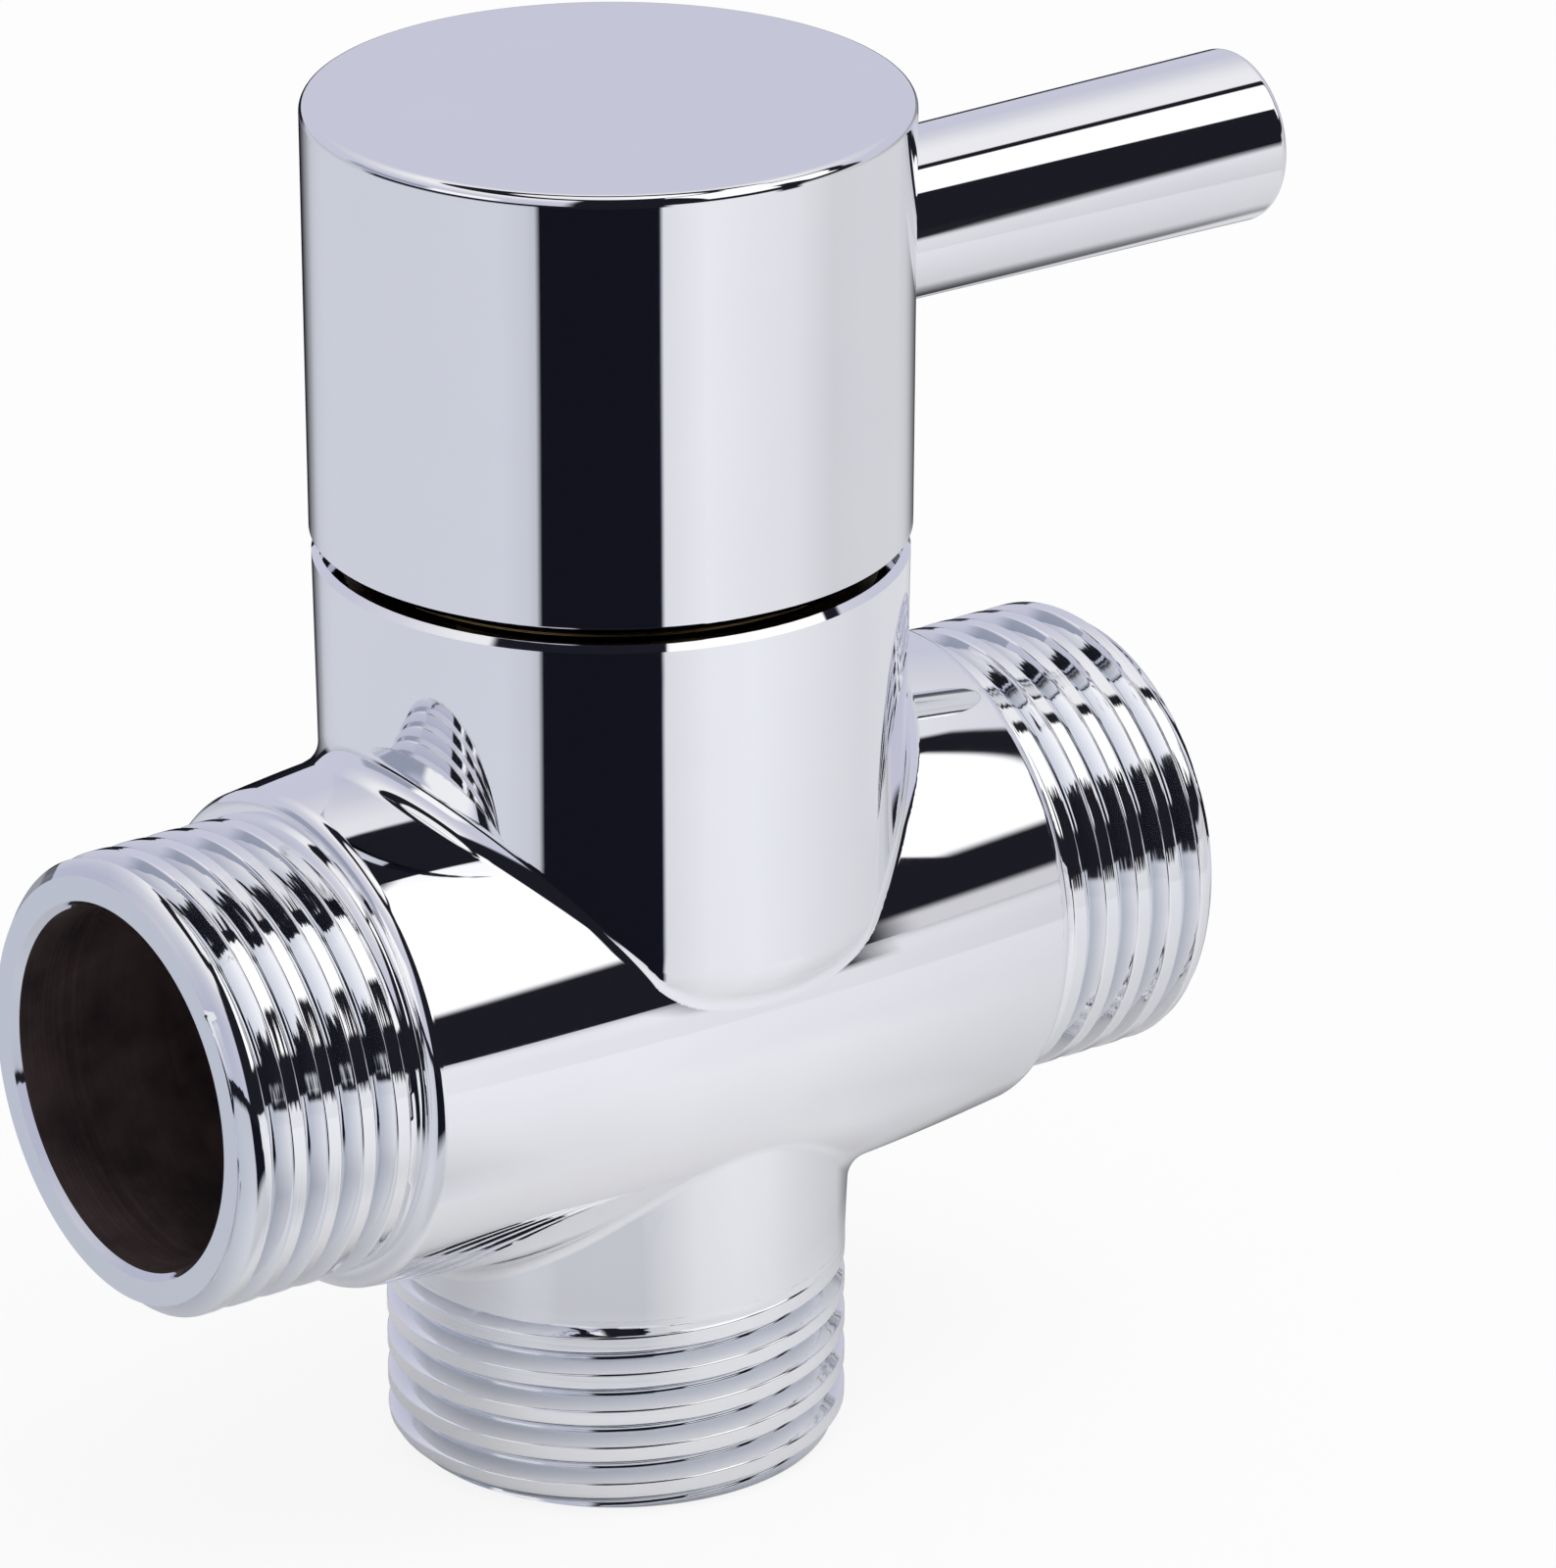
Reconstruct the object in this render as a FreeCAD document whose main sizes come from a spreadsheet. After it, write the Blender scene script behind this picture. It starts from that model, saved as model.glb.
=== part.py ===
import FreeCAD, Part
import math
import os
import Sketcher

# Quarter-turn shower diverter: a T body with three male half-inch ports, a ceramic disc
# cartridge clamped in its drum by a gland nut, and a cup handle with a screwed-in lever.
# The origin is the centre of the bottom port's end ring, which the valve stands on.
# +X is the way through the side ports and the way the lever points at rest.

doc = FreeCAD.newDocument("shower_diverter_valve")

SIZES = {
    # Body, outside
    "port_height": 23.25,
    "drum_radius": 13.35,
    "drum_draft": 0.3,
    "drum_foot_rise": 2.35,
    "drum_foot_rounding": 3.0,
    "drum_rim_rise": 0.66,
    "neck_radius": 11.1,
    "neck_rise": 1.36,
    "rim_chamfer": 0.3,
    "port_collar_radius": 11.4,
    "port_belly": 1.96,
    "crossing_fillet": 1.2,
    "collar_land": 2.4,
    "collar_slope": 0.65,
    "thread_radius": 10.4775,
    "side_thread_length": 9.2,
    "bottom_thread_length": 9.1,
    "thread_lead_in": 0.75,
    # Body, water ways and cartridge chamber
    "port_bore_radius": 8.3,
    "port_bore_chamfer": 0.3,
    "port_bore_web": 8.6,
    "bottom_bore_web": 2.55,
    "chamber_roof": 1.15,
    "drum_wall": 1.35,
    "gland_step": 1.5,
    "gland_thread_depth": 5.0,
    # Water holes that run through base, seals and fixed disc
    "way_radius": 2.75,
    "kidney_inner": 5.0,
    "kidney_margin": 0.7,
    "kidney_angle": 15.3,
    "gallery_depth": 4.4,
    # Cartridge stack, from the chamber floor up
    "cartridge_fit": 0.2,
    "cartridge_wall": 0.9,
    "base_thickness": 2.6,
    "base_flange": 1.0,
    "base_fit": 0.05,
    "peg_radius": 1.0,
    "peg_length": 1.4,
    "peg_inset": 3.1,
    "peg_fit": 0.1,
    "lug_width": 2.2,
    "lug_height": 1.2,
    "lug_depth": 0.7,
    "lug_fit": 0.1,
    "seal_thickness": 0.7,
    "seal_bridge": 1.25,
    "seal_rim": 0.55,
    "seal_fit": 0.05,
    "disc_gap": 0.3,
    "fixed_disc_thickness": 2.0,
    "disc_film": 0.02,
    "moving_disc_inset": 0.15,
    "moving_disc_thickness": 2.4,
    "pocket_depth": 0.9,
    "disc_chamfer": 0.2,
    "driver_inset": 0.2,
    "driver_thickness": 1.5,
    "dog_width": 2.4,
    "dog_inner": 4.7,
    "dog_inset": 0.9,
    "dog_height": 0.7,
    "dog_fit": 0.1,
    "washer_gap": 1.8,
    "washer_thickness": 0.3,
    "housing_roof": 1.0,
    "housing_neck_radius": 6.9,
    "housing_neck_length": 6.9,
    "stop_angle": 14.0,
    "stop_bearing": 225.0,
    "stop_depth": 1.2,
    "stop_gap": 0.3,
    "stop_slack": 1.5,
    "throw_angle": 90.0,
    # Spindle
    "spindle_radius": 4.0,
    "spindle_fit": 0.05,
    "collar_radius": 5.4,
    "collar_thickness": 0.8,
    "foot_flats": 5.6,
    "foot_fit": 0.05,
    "ring_groove_radius": 2.9,
    "ring_groove_width": 1.7,
    "ring_height": 1.5,
    "ring_pitch": 2.6,
    "ring_rounding": 0.35,
    "ring_running_fit": 0.03,
    "clip_groove_radius": 3.4,
    "clip_thickness": 0.7,
    "clip_radius": 5.3,
    "clip_gap_angle": 60.0,
    "clip_play": 0.05,
    "spline_tip": 3.8,
    "spline_root": 3.35,
    "spline_length": 7.3,
    "spline_fit": 0.05,
    # Gland
    "gland_thread_fit": 0.05,
    "gland_flange": 0.7,
    "gland_hex_inset": 2.8,
    "gland_hex_height": 3.4,
    "gland_bore_fit": 0.2,
    "gland_ring_height": 1.4,
    "gland_ring_fit": 0.08,
    # Handle and lever
    "seam": 0.62,
    "knob_height": 20.09,
    "knob_overhang": 0.1,
    "knob_draft": 0.14,
    "knob_edge_rounding": 0.5,
    "knob_wall": 2.2,
    "knob_crown": 3.0,
    "hub_radius": 6.0,
    "hub_gap": 0.82,
    "rib_width": 8.4,
    "lever_height": 11.26,
    "lever_radius": 3.8,
    "lever_end_radius": 4.01,
    "lever_length": 22.3,
    "lever_end_rounding": 0.4,
    "lever_sink": 0.55,
    "lever_seat_fit": 0.04,
    "stud_radius": 2.5,
    "stud_fit": 0.05,
    "stud_tip_chamfer": 0.5,
}

# Spline teeth: how many, and each one's half crest and half root as shares of the pitch
SPLINE_TEETH = 20
SPLINE_CREST = 0.16
SPLINE_ROOT = 0.36

# How much of the way from the valve's axis to the collar's edge is one curve on a side port's belly
BELLY_SHARE = 0.97

# How far a cut's outline runs past the face it opens in
OVERRUN = 1.0

sheet = doc.addObject("Spreadsheet::Sheet", "Sizes")
for row, (alias, number) in enumerate(SIZES.items(), start=1):
    sheet.set(f"A{row}", alias)
    sheet.set(f"B{row}", str(number))
    sheet.setAlias(f"B{row}", alias)
doc.recompute()


def cell(alias):
    """The expression that reads one size from the sheet."""
    return f"Sizes.{alias}"


def total(*terms):
    """The expression for a sum of terms, each a size's name or an expression of its own."""
    return " + ".join(cell(term) if term in SIZES else f"({term})" for term in terms)


def less(first, *terms):
    """The expression for a term with the others taken from it."""
    head = cell(first) if first in SIZES else f"({first})"
    return head + "".join(f" - ({total(term)})" for term in terms)


def value(expression):
    """The present number of an expression."""
    return float(sheet.evalExpression(expression))


# Heights above the standing face: the cartridge stack, and the rim and handle that follow it
chamber_floor = total("port_height", "port_bore_radius", "chamber_roof")
fixed_disc_at = total(chamber_floor, "base_thickness")
moving_disc_at = total(fixed_disc_at, "fixed_disc_thickness", "disc_film")
driver_at = total(moving_disc_at, "moving_disc_thickness")
driver_top = total(driver_at, "driver_thickness")
washer_at = total(driver_top, "disc_film")
ceiling = total(washer_at, "washer_thickness")
housing_shoulder = total(ceiling, "housing_roof")
housing_top = total(housing_shoulder, "housing_neck_length")
clip_at = total(housing_top, "clip_play")
hub_end = total(clip_at, "clip_thickness", "hub_gap")
body_height = total(housing_shoulder, "drum_rim_rise")
gland_thread_start = less(body_height, "gland_thread_depth")
knob_at = total(body_height, "seam")
lever_axis = total(knob_at, "lever_height")
drum_foot_height = total("port_height", "drum_foot_rise")
neck_height = total("port_height", "neck_rise")
bottom_bore_depth = less("port_height", "port_bore_radius", "bottom_bore_web")

# Radii, each from the one outside it less a wall or a clearance
gland_thread_radius = less("drum_radius", "drum_wall")
chamber_radius = less(gland_thread_radius, "gland_step")
cartridge_radius = less(chamber_radius, "cartridge_fit")
housing_inner = less(cartridge_radius, "cartridge_wall")
base_plug = less(housing_inner, "base_fit")
disc_radius = less(housing_inner, "disc_gap")
moving_disc_radius = less(disc_radius, "moving_disc_inset")
driver_radius = less(disc_radius, "driver_inset")
kidney_outer = less(disc_radius, "kidney_margin")
lug_inner = less(disc_radius, "lug_depth")
dog_outer = less(kidney_outer, "dog_inset")
peg_reach = less(cartridge_radius, "peg_inset")
washer_radius = less(housing_inner, "washer_gap")
housing_bore = total("spindle_radius", "spindle_fit")
neck_sleeve = total("housing_neck_radius", "gland_bore_fit")
knob_radius = total("drum_radius", "knob_overhang")
knob_inner = less(knob_radius, "knob_wall")

# Distances from the valve's axis: the side ports' collar and end, the lever's seat and end
slope_start = total("drum_radius", "crossing_fillet", "collar_land")
collar_end = total(slope_start, "collar_slope")
port_reach = total(collar_end, "side_thread_length")
lever_seat = less(knob_radius, "lever_sink")
lever_end = total(lever_seat, "lever_length")


def origin_plane(body, role):
    return [part for part in body.Origin.OriginFeatures if part.Role == role][0]


def new_body(label, height="0"):
    """A named piece whose own zero lies at the given height on the valve's axis."""
    body = doc.addObject("PartDesign::Body", label)
    body.Label = label
    body.setExpression("Placement.Base.z", height)
    return body


def new_sketch(body, name, plane, lift="0", rise="0", turn=0.0):
    """An empty sketch on one of the piece's own planes, lifted off it, raised in it and turned in it."""
    sketch = body.newObject("Sketcher::SketchObject", name)
    sketch.AttachmentSupport = [(origin_plane(body, plane), "")]
    sketch.MapMode = "FlatFace"
    spin = FreeCAD.Rotation(FreeCAD.Vector(0, 0, 1), turn)
    sketch.AttachmentOffset = FreeCAD.Placement(FreeCAD.Vector(), spin)
    sketch.setExpression("AttachmentOffset.Base.z", lift)
    sketch.setExpression("AttachmentOffset.Base.y", rise)
    return sketch


def hold(sketch, geometry, point, axis, expression):
    """Hold a point of the sketch at an expression's distance from the sketch's zero."""
    number = value(expression)
    on_axis = -2 if axis == "DistanceX" else -1
    if expression == "0":
        sketch.addConstraint(Sketcher.Constraint("PointOnObject", geometry, point, on_axis))
        return
    if number < 0:
        index = sketch.addConstraint(Sketcher.Constraint(axis, geometry, point, -1, 1, -number))
        expression = f"-({expression})"
    else:
        index = sketch.addConstraint(Sketcher.Constraint(axis, -1, 1, geometry, point, number))
    sketch.setExpression(f"Constraints[{index}]", expression)


def add_loop(sketch, corners):
    """A closed run of straight sides; a corner with a third term is rounded by that radius."""
    places = [FreeCAD.Vector(value(corner[0]), value(corner[1]), 0) for corner in corners]
    count = len(corners)
    runs = [(places[(i + 1) % count] - places[i]).normalize() for i in range(count)]
    setbacks = []
    for i, corner in enumerate(corners):
        bend = runs[i - 1].getAngle(runs[i])
        setbacks.append(value(corner[2]) * math.tan(bend / 2) if len(corner) > 2 else 0.0)
    sides = []
    for i in range(count):
        start = places[i] + runs[i] * setbacks[i]
        end = places[(i + 1) % count] - runs[i] * setbacks[(i + 1) % count]
        sides.append(sketch.addGeometry(Part.LineSegment(start, end)))
    for i, corner in enumerate(corners):
        before, after = sides[i - 1], sides[i]
        if len(corner) == 2:
            sketch.addConstraint(Sketcher.Constraint("Coincident", before, 2, after, 1))
            hold(sketch, after, 1, "DistanceX", corner[0])
            hold(sketch, after, 1, "DistanceY", corner[1])
            continue
        left_turn = runs[i - 1].cross(runs[i]).z > 0
        radius = value(corner[2])
        inward = FreeCAD.Vector(-runs[i].y, runs[i].x, 0) * (radius if left_turn else -radius)
        centre = places[i] + runs[i] * setbacks[i] + inward
        rim = [places[i] - runs[i - 1] * setbacks[i], places[i] + runs[i] * setbacks[i]]
        if not left_turn:
            rim.reverse()
        angles = [math.atan2(spot.y - centre.y, spot.x - centre.x) for spot in rim]
        circle = Part.Circle(centre, FreeCAD.Vector(0, 0, 1), radius)
        arc = sketch.addGeometry(Part.ArcOfCircle(circle, angles[0], angles[1]))
        first, last = (1, 2) if left_turn else (2, 1)
        mark = sketch.addGeometry(Part.Point(places[i]), True)
        sketch.addConstraint(Sketcher.Constraint("Tangent", before, 2, arc, first))
        sketch.addConstraint(Sketcher.Constraint("Tangent", arc, last, after, 1))
        index = sketch.addConstraint(Sketcher.Constraint("Radius", arc, radius))
        sketch.setExpression(f"Constraints[{index}]", corner[2])
        sketch.addConstraint(Sketcher.Constraint("PointOnObject", mark, 1, before))
        sketch.addConstraint(Sketcher.Constraint("PointOnObject", mark, 1, after))
        hold(sketch, mark, 1, "DistanceX", corner[0])
        hold(sketch, mark, 1, "DistanceY", corner[1])


def add_circle(sketch, radius):
    circle = Part.Circle(FreeCAD.Vector(), FreeCAD.Vector(0, 0, 1), value(radius))
    index = sketch.addGeometry(circle)
    sketch.addConstraint(Sketcher.Constraint("Coincident", index, 3, -1, 1))
    held = sketch.addConstraint(Sketcher.Constraint("Radius", index, value(radius)))
    sketch.setExpression(f"Constraints[{held}]", radius)


def add_kidney(sketch, inner, outer, half_angle):
    """A round-ended slot along an arc about the sketch's zero, centred on the sketch's own X."""
    small, large, angle = value(inner), value(outer), math.radians(value(half_angle))
    middle, end_radius = (small + large) / 2, (large - small) / 2
    zero, normal = FreeCAD.Vector(), FreeCAD.Vector(0, 0, 1)
    ends = [FreeCAD.Vector(middle * math.cos(a), middle * math.sin(a), 0) for a in (angle, -angle)]
    rim = sketch.addGeometry(Part.ArcOfCircle(Part.Circle(zero, normal, large), -angle, angle))
    core = sketch.addGeometry(Part.ArcOfCircle(Part.Circle(zero, normal, small), -angle, angle))
    far = Part.ArcOfCircle(Part.Circle(ends[0], normal, end_radius), angle, angle + math.pi)
    near_circle = Part.Circle(ends[1], normal, end_radius)
    near = Part.ArcOfCircle(near_circle, math.pi - angle, 2 * math.pi - angle)
    far_end, near_end = sketch.addGeometry(far), sketch.addGeometry(near)
    for arc, radius in ((rim, outer), (core, inner)):
        sketch.addConstraint(Sketcher.Constraint("Coincident", arc, 3, -1, 1))
        held = sketch.addConstraint(Sketcher.Constraint("Radius", arc, value(radius)))
        sketch.setExpression(f"Constraints[{held}]", radius)
    sketch.addConstraint(Sketcher.Constraint("Tangent", rim, 2, far_end, 1))
    sketch.addConstraint(Sketcher.Constraint("Tangent", far_end, 2, core, 2))
    sketch.addConstraint(Sketcher.Constraint("Tangent", core, 1, near_end, 1))
    sketch.addConstraint(Sketcher.Constraint("Tangent", near_end, 2, rim, 1))
    swing = f"(({inner}) + ({outer})) / 2 * sin(({half_angle}) * 1 deg)"
    hold(sketch, far_end, 3, "DistanceY", swing)
    hold(sketch, near_end, 3, "DistanceY", f"-({swing})")


def turn_profile(body, name, corners, kind="PartDesign::Revolution", axis="V_Axis", rise="0"):
    """A full turn of a closed profile, added to the piece or grooved out of it."""
    sketch = new_sketch(body, f"{name}_profile", "XZ_Plane", rise=rise)
    add_loop(sketch, corners)
    feature = body.newObject(kind, name)
    feature.Profile = sketch
    feature.ReferenceAxis = (sketch, [axis])
    feature.Angle = 360.0
    return feature


def pad(body, name, sketch, length):
    """Material raised from the sketch along its normal."""
    feature = body.newObject("PartDesign::Pad", name)
    feature.Profile = sketch
    feature.setExpression("Length", length)
    return feature


def pocket(body, name, sketch, depth):
    """Material taken away from the sketch along its normal."""
    feature = body.newObject("PartDesign::Pocket", name)
    feature.Profile = sketch
    feature.Reversed = True
    feature.setExpression("Length", depth)
    return feature


def ring_section(inner, outer, bottom, top):
    return [(inner, bottom), (outer, bottom), (outer, top), (inner, top)]


def block(near, far, width):
    """A rectangle centred on the sketch's X, from one distance to another."""
    half = f"({width}) / 2"
    return [(near, f"-({half})"), (far, f"-({half})"), (far, half), (near, half)]


def cut_water_ways(body, bottom, height):
    """The centre hole and the two side kidneys, from a height in the piece up through it."""
    centre = new_sketch(body, "way_outline", "XY_Plane", lift=bottom)
    add_circle(centre, cell("way_radius"))
    pocket(body, "way", centre, height)
    for side, bearing in (("outlet", 0.0), ("inlet", 180.0)):
        kidney = new_sketch(body, f"{side}_kidney_outline", "XY_Plane", lift=bottom, turn=bearing)
        add_kidney(kidney, cell("kidney_inner"), kidney_outer, cell("kidney_angle"))
        pocket(body, f"{side}_kidney", kidney, height)


# Valve body: drum, neck and bottom port in one turned form, crossed by the side ports
valve_body = new_body("valve_body")
turn_profile(valve_body, "upright", [
    ("0", "0"),
    (less("thread_radius", "thread_lead_in"), "0"),
    (cell("thread_radius"), cell("thread_lead_in")),
    (cell("thread_radius"), cell("bottom_thread_length")),
    (cell("neck_radius"), neck_height),
    (less("drum_radius", "drum_draft"), drum_foot_height, cell("drum_foot_rounding")),
    (cell("drum_radius"), less(body_height, "rim_chamfer")),
    (less("drum_radius", "rim_chamfer"), body_height),
    ("0", body_height),
])

lead_in_end = less(port_reach, "thread_lead_in")
belly_rounding = f"{BELLY_SHARE} * ({slope_start}) * ({slope_start}) / {cell('port_belly')}"
crossing = turn_profile(valve_body, "side_ports", [
    (f"-({port_reach})", "0"),
    (port_reach, "0"),
    (port_reach, less("thread_radius", "thread_lead_in")),
    (lead_in_end, cell("thread_radius")),
    (collar_end, cell("thread_radius")),
    (slope_start, cell("port_collar_radius")),
    ("0", total("port_collar_radius", "port_belly"), belly_rounding),
    (f"-({slope_start})", cell("port_collar_radius")),
    (f"-({collar_end})", cell("thread_radius")),
    (f"-({lead_in_end})", cell("thread_radius")),
    (f"-({port_reach})", less("thread_radius", "thread_lead_in")),
], axis="H_Axis", rise=cell("port_height"))
doc.recompute()

# The casting's soft corner where the side ports run into drum and neck
meeting_edges = [
    f"Edge{number}"
    for number, edge in enumerate(crossing.Shape.Edges, start=1)
    if edge.Curve.TypeId not in ("Part::GeomCircle", "Part::GeomLine")
]
corner = valve_body.newObject("PartDesign::Fillet", "crossing_corner")
corner.Base = (crossing, meeting_edges)
corner.setExpression("Radius", cell("crossing_fillet"))
doc.recompute()

groove = "PartDesign::Groove"
over_top = total(body_height, str(OVERRUN))
turn_profile(valve_body, "chamber", [
    ("0", chamber_floor),
    (chamber_radius, chamber_floor),
    (chamber_radius, gland_thread_start),
    (gland_thread_radius, gland_thread_start),
    (gland_thread_radius, over_top),
    ("0", over_top),
], kind=groove)
bore_mouth = total("port_bore_radius", "port_bore_chamfer", str(OVERRUN))
turn_profile(valve_body, "bottom_bore", [
    ("0", str(-OVERRUN)),
    (bore_mouth, str(-OVERRUN)),
    (cell("port_bore_radius"), cell("port_bore_chamfer")),
    (cell("port_bore_radius"), bottom_bore_depth),
    ("0", bottom_bore_depth),
], kind=groove)
half_web = f"{cell('port_bore_web')} / 2"
past_end = total(port_reach, str(OVERRUN))
for side, sign in (("outlet", ""), ("inlet", "-")):
    turn_profile(valve_body, f"{side}_bore", [
        (f"{sign}({half_web})", "0"),
        (f"{sign}({past_end})", "0"),
        (f"{sign}({past_end})", bore_mouth),
        (f"{sign}({less(port_reach, 'port_bore_chamfer')})", cell("port_bore_radius")),
        (f"{sign}({half_web})", cell("port_bore_radius")),
    ], kind=groove, axis="H_Axis", rise=cell("port_height"))

# Galleries from the chamber floor: kidneys into the side bores, a drilling down to the bottom bore
drilling_start = less(bottom_bore_depth, str(OVERRUN))
drilling_end = total(chamber_floor, str(OVERRUN))
drilling = new_sketch(valve_body, "drilling_outline", "XY_Plane", lift=drilling_start)
add_circle(drilling, cell("way_radius"))
pocket(valve_body, "drilling", drilling, less(drilling_end, drilling_start))
gallery_floor = less(chamber_floor, "gallery_depth")
for side, bearing in (("outlet", 0.0), ("inlet", 180.0)):
    gallery = new_sketch(valve_body, f"{side}_gallery_outline", "XY_Plane", lift=gallery_floor, turn=bearing)
    add_kidney(gallery, cell("kidney_inner"), kidney_outer, cell("kidney_angle"))
    pocket(valve_body, f"{side}_gallery", gallery, total("gallery_depth", str(OVERRUN)))
peg_hole_floor = less(chamber_floor, "peg_length", "peg_fit")
for side, sign in (("front", "-"), ("back", "")):
    hole_place = f"{sign}({peg_reach})"
    hole = new_sketch(valve_body, f"{side}_peg_hole_outline", "XY_Plane", peg_hole_floor, hole_place)
    add_circle(hole, total("peg_radius", "peg_fit"))
    pocket(valve_body, f"{side}_peg_hole", hole, total("peg_length", "peg_fit", str(OVERRUN)))

# Cartridge base: a stepped plate with pegs below, lugs above and a seal recess in each face
base = new_body("cartridge_base", chamber_floor)
turn_profile(base, "plate", [
    ("0", "0"),
    (cartridge_radius, "0"),
    (cartridge_radius, cell("base_flange")),
    (base_plug, cell("base_flange")),
    (base_plug, cell("base_thickness")),
    ("0", cell("base_thickness")),
])
for side, sign in (("front", "-"), ("back", "")):
    peg_place = f"{sign}({peg_reach})"
    peg = new_sketch(base, f"{side}_peg_outline", "XY_Plane", f"-({cell('peg_length')})", peg_place)
    add_circle(peg, cell("peg_radius"))
    pad(base, f"{side}_peg", peg, total("peg_length", "base_flange"))
lug_bottom = less("base_thickness", "base_flange")
lug_outer = less(base_plug, "base_fit")
for side, bearing in (("front", 270.0), ("back", 90.0)):
    lug = new_sketch(base, f"{side}_lug_outline", "XY_Plane", lift=lug_bottom, turn=bearing)
    add_loop(lug, block(lug_inner, lug_outer, cell("lug_width")))
    pad(base, f"{side}_lug", lug, total("base_flange", "lug_height"))


def seal_plan(body, name, fit, bottom, height, make):
    """The seal's outer form, one loop round each water hole, raised or sunk by the given height."""
    disc = new_sketch(body, f"{name}_middle_outline", "XY_Plane", lift=bottom)
    add_circle(disc, total("way_radius", "seal_bridge", fit))
    make(body, f"{name}_middle", disc, height)
    for side, bearing in (("outlet", 0.0), ("inlet", 180.0)):
        loop = new_sketch(body, f"{name}_{side}_outline", "XY_Plane", lift=bottom, turn=bearing)
        inner = less("kidney_inner", "seal_bridge", fit)
        add_kidney(loop, inner, total(kidney_outer, "seal_rim", fit), cell("kidney_angle"))
        make(body, f"{name}_{side}", loop, height)


seal_recess = total("seal_thickness", str(OVERRUN))
seal_plan(base, "lower_recess", cell("seal_fit"), str(-OVERRUN), seal_recess, pocket)
upper_recess_floor = less("base_thickness", "seal_thickness")
seal_plan(base, "upper_recess", cell("seal_fit"), upper_recess_floor, seal_recess, pocket)
cut_water_ways(base, "0", total("base_thickness", str(OVERRUN)))


def make_seal(label, height):
    """A moulded seal: three joined loops round the water holes."""
    body = new_body(label, height)
    seal_plan(body, "loops", "0", "0", cell("seal_thickness"), pad)
    cut_water_ways(body, str(-OVERRUN), total("seal_thickness", str(2 * OVERRUN)))
    return body


lower_seal = make_seal("lower_seat_seal", chamber_floor)
upper_seal = make_seal("upper_seat_seal", less(fixed_disc_at, "seal_thickness"))

# Fixed disc: lapped ceramic with three water holes, notched for the base's lugs
fixed_disc = new_body("fixed_disc", fixed_disc_at)
turn_profile(fixed_disc, "blank", [
    ("0", "0"),
    (less(disc_radius, "disc_chamfer"), "0"),
    (disc_radius, cell("disc_chamfer")),
    (disc_radius, cell("fixed_disc_thickness")),
    ("0", cell("fixed_disc_thickness")),
])
through_disc = total("fixed_disc_thickness", str(2 * OVERRUN))
notch_width = total("lug_width", f"2 * {cell('lug_fit')}")
notch_plan = block(less(lug_inner, "lug_fit"), total(disc_radius, str(OVERRUN)), notch_width)
for side, bearing in (("front", 270.0), ("back", 90.0)):
    notch = new_sketch(fixed_disc, f"{side}_notch_outline", "XY_Plane", lift=str(-OVERRUN), turn=bearing)
    add_loop(notch, notch_plan)
    pocket(fixed_disc, f"{side}_notch", notch, through_disc)
cut_water_ways(fixed_disc, str(-OVERRUN), through_disc)

# Moving disc: a curved pocket joins the two kidneys, a straight one joins a kidney to the centre
moving_disc = new_body("moving_disc", moving_disc_at)
turn_profile(moving_disc, "blank", [
    ("0", "0"),
    (moving_disc_radius, "0"),
    (moving_disc_radius, less("moving_disc_thickness", "disc_chamfer")),
    (less(moving_disc_radius, "disc_chamfer"), cell("moving_disc_thickness")),
    ("0", cell("moving_disc_thickness")),
])
pocket_start = str(-OVERRUN)
pocket_cut = total("pocket_depth", str(OVERRUN))
curved = new_sketch(moving_disc, "curved_pocket_outline", "XY_Plane", lift=pocket_start, turn=90.0)
add_kidney(curved, cell("kidney_inner"), kidney_outer, total("kidney_angle", "90"))
pocket(moving_disc, "curved_pocket", curved, pocket_cut)
straight = new_sketch(moving_disc, "straight_pocket_outline", "XY_Plane", lift=pocket_start, turn=270.0)
straight_width = less(kidney_outer, "kidney_inner")
straight_rounding = f"({straight_width}) / 3"
straight_corners = block(less("0", "way_radius"), kidney_outer, straight_width)
add_loop(straight, [(across, up, straight_rounding) for across, up in straight_corners])
pocket(moving_disc, "straight_pocket", straight, pocket_cut)
dog_slot_floor = less("moving_disc_thickness", "dog_height", "dog_fit")
slot_width = total("dog_width", f"2 * {cell('dog_fit')}")
slot_plan = block(less("dog_inner", "dog_fit"), total(dog_outer, "dog_fit"), slot_width)
for side, bearing in (("front", 270.0), ("back", 90.0)):
    slot = new_sketch(moving_disc, f"{side}_dog_slot_outline", "XY_Plane", lift=dog_slot_floor, turn=bearing)
    add_loop(slot, slot_plan)
    pocket(moving_disc, f"{side}_dog_slot", slot, total("dog_height", "dog_fit", str(OVERRUN)))

# Disc driver: a plate with dogs below, a flatted hole and seat for the spindle, and a stop notch
driver = new_body("disc_driver", driver_at)
turn_profile(driver, "plate", [
    ("0", "0"),
    (driver_radius, "0"),
    (driver_radius, cell("driver_thickness")),
    ("0", cell("driver_thickness")),
])
for side, bearing in (("front", 270.0), ("back", 90.0)):
    dog = new_sketch(driver, f"{side}_dog_outline", "XY_Plane", f"-({cell('dog_height')})", turn=bearing)
    add_loop(dog, block(cell("dog_inner"), dog_outer, cell("dog_width")))
    pad(driver, f"{side}_dog", dog, total("dog_height", "driver_thickness"))
collar_at = less("driver_thickness", "collar_thickness")
seat = new_sketch(driver, "collar_seat_outline", "XY_Plane", lift=collar_at)
add_circle(seat, total("collar_radius", "foot_fit"))
pocket(driver, "collar_seat", seat, total("collar_thickness", str(OVERRUN)))


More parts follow.
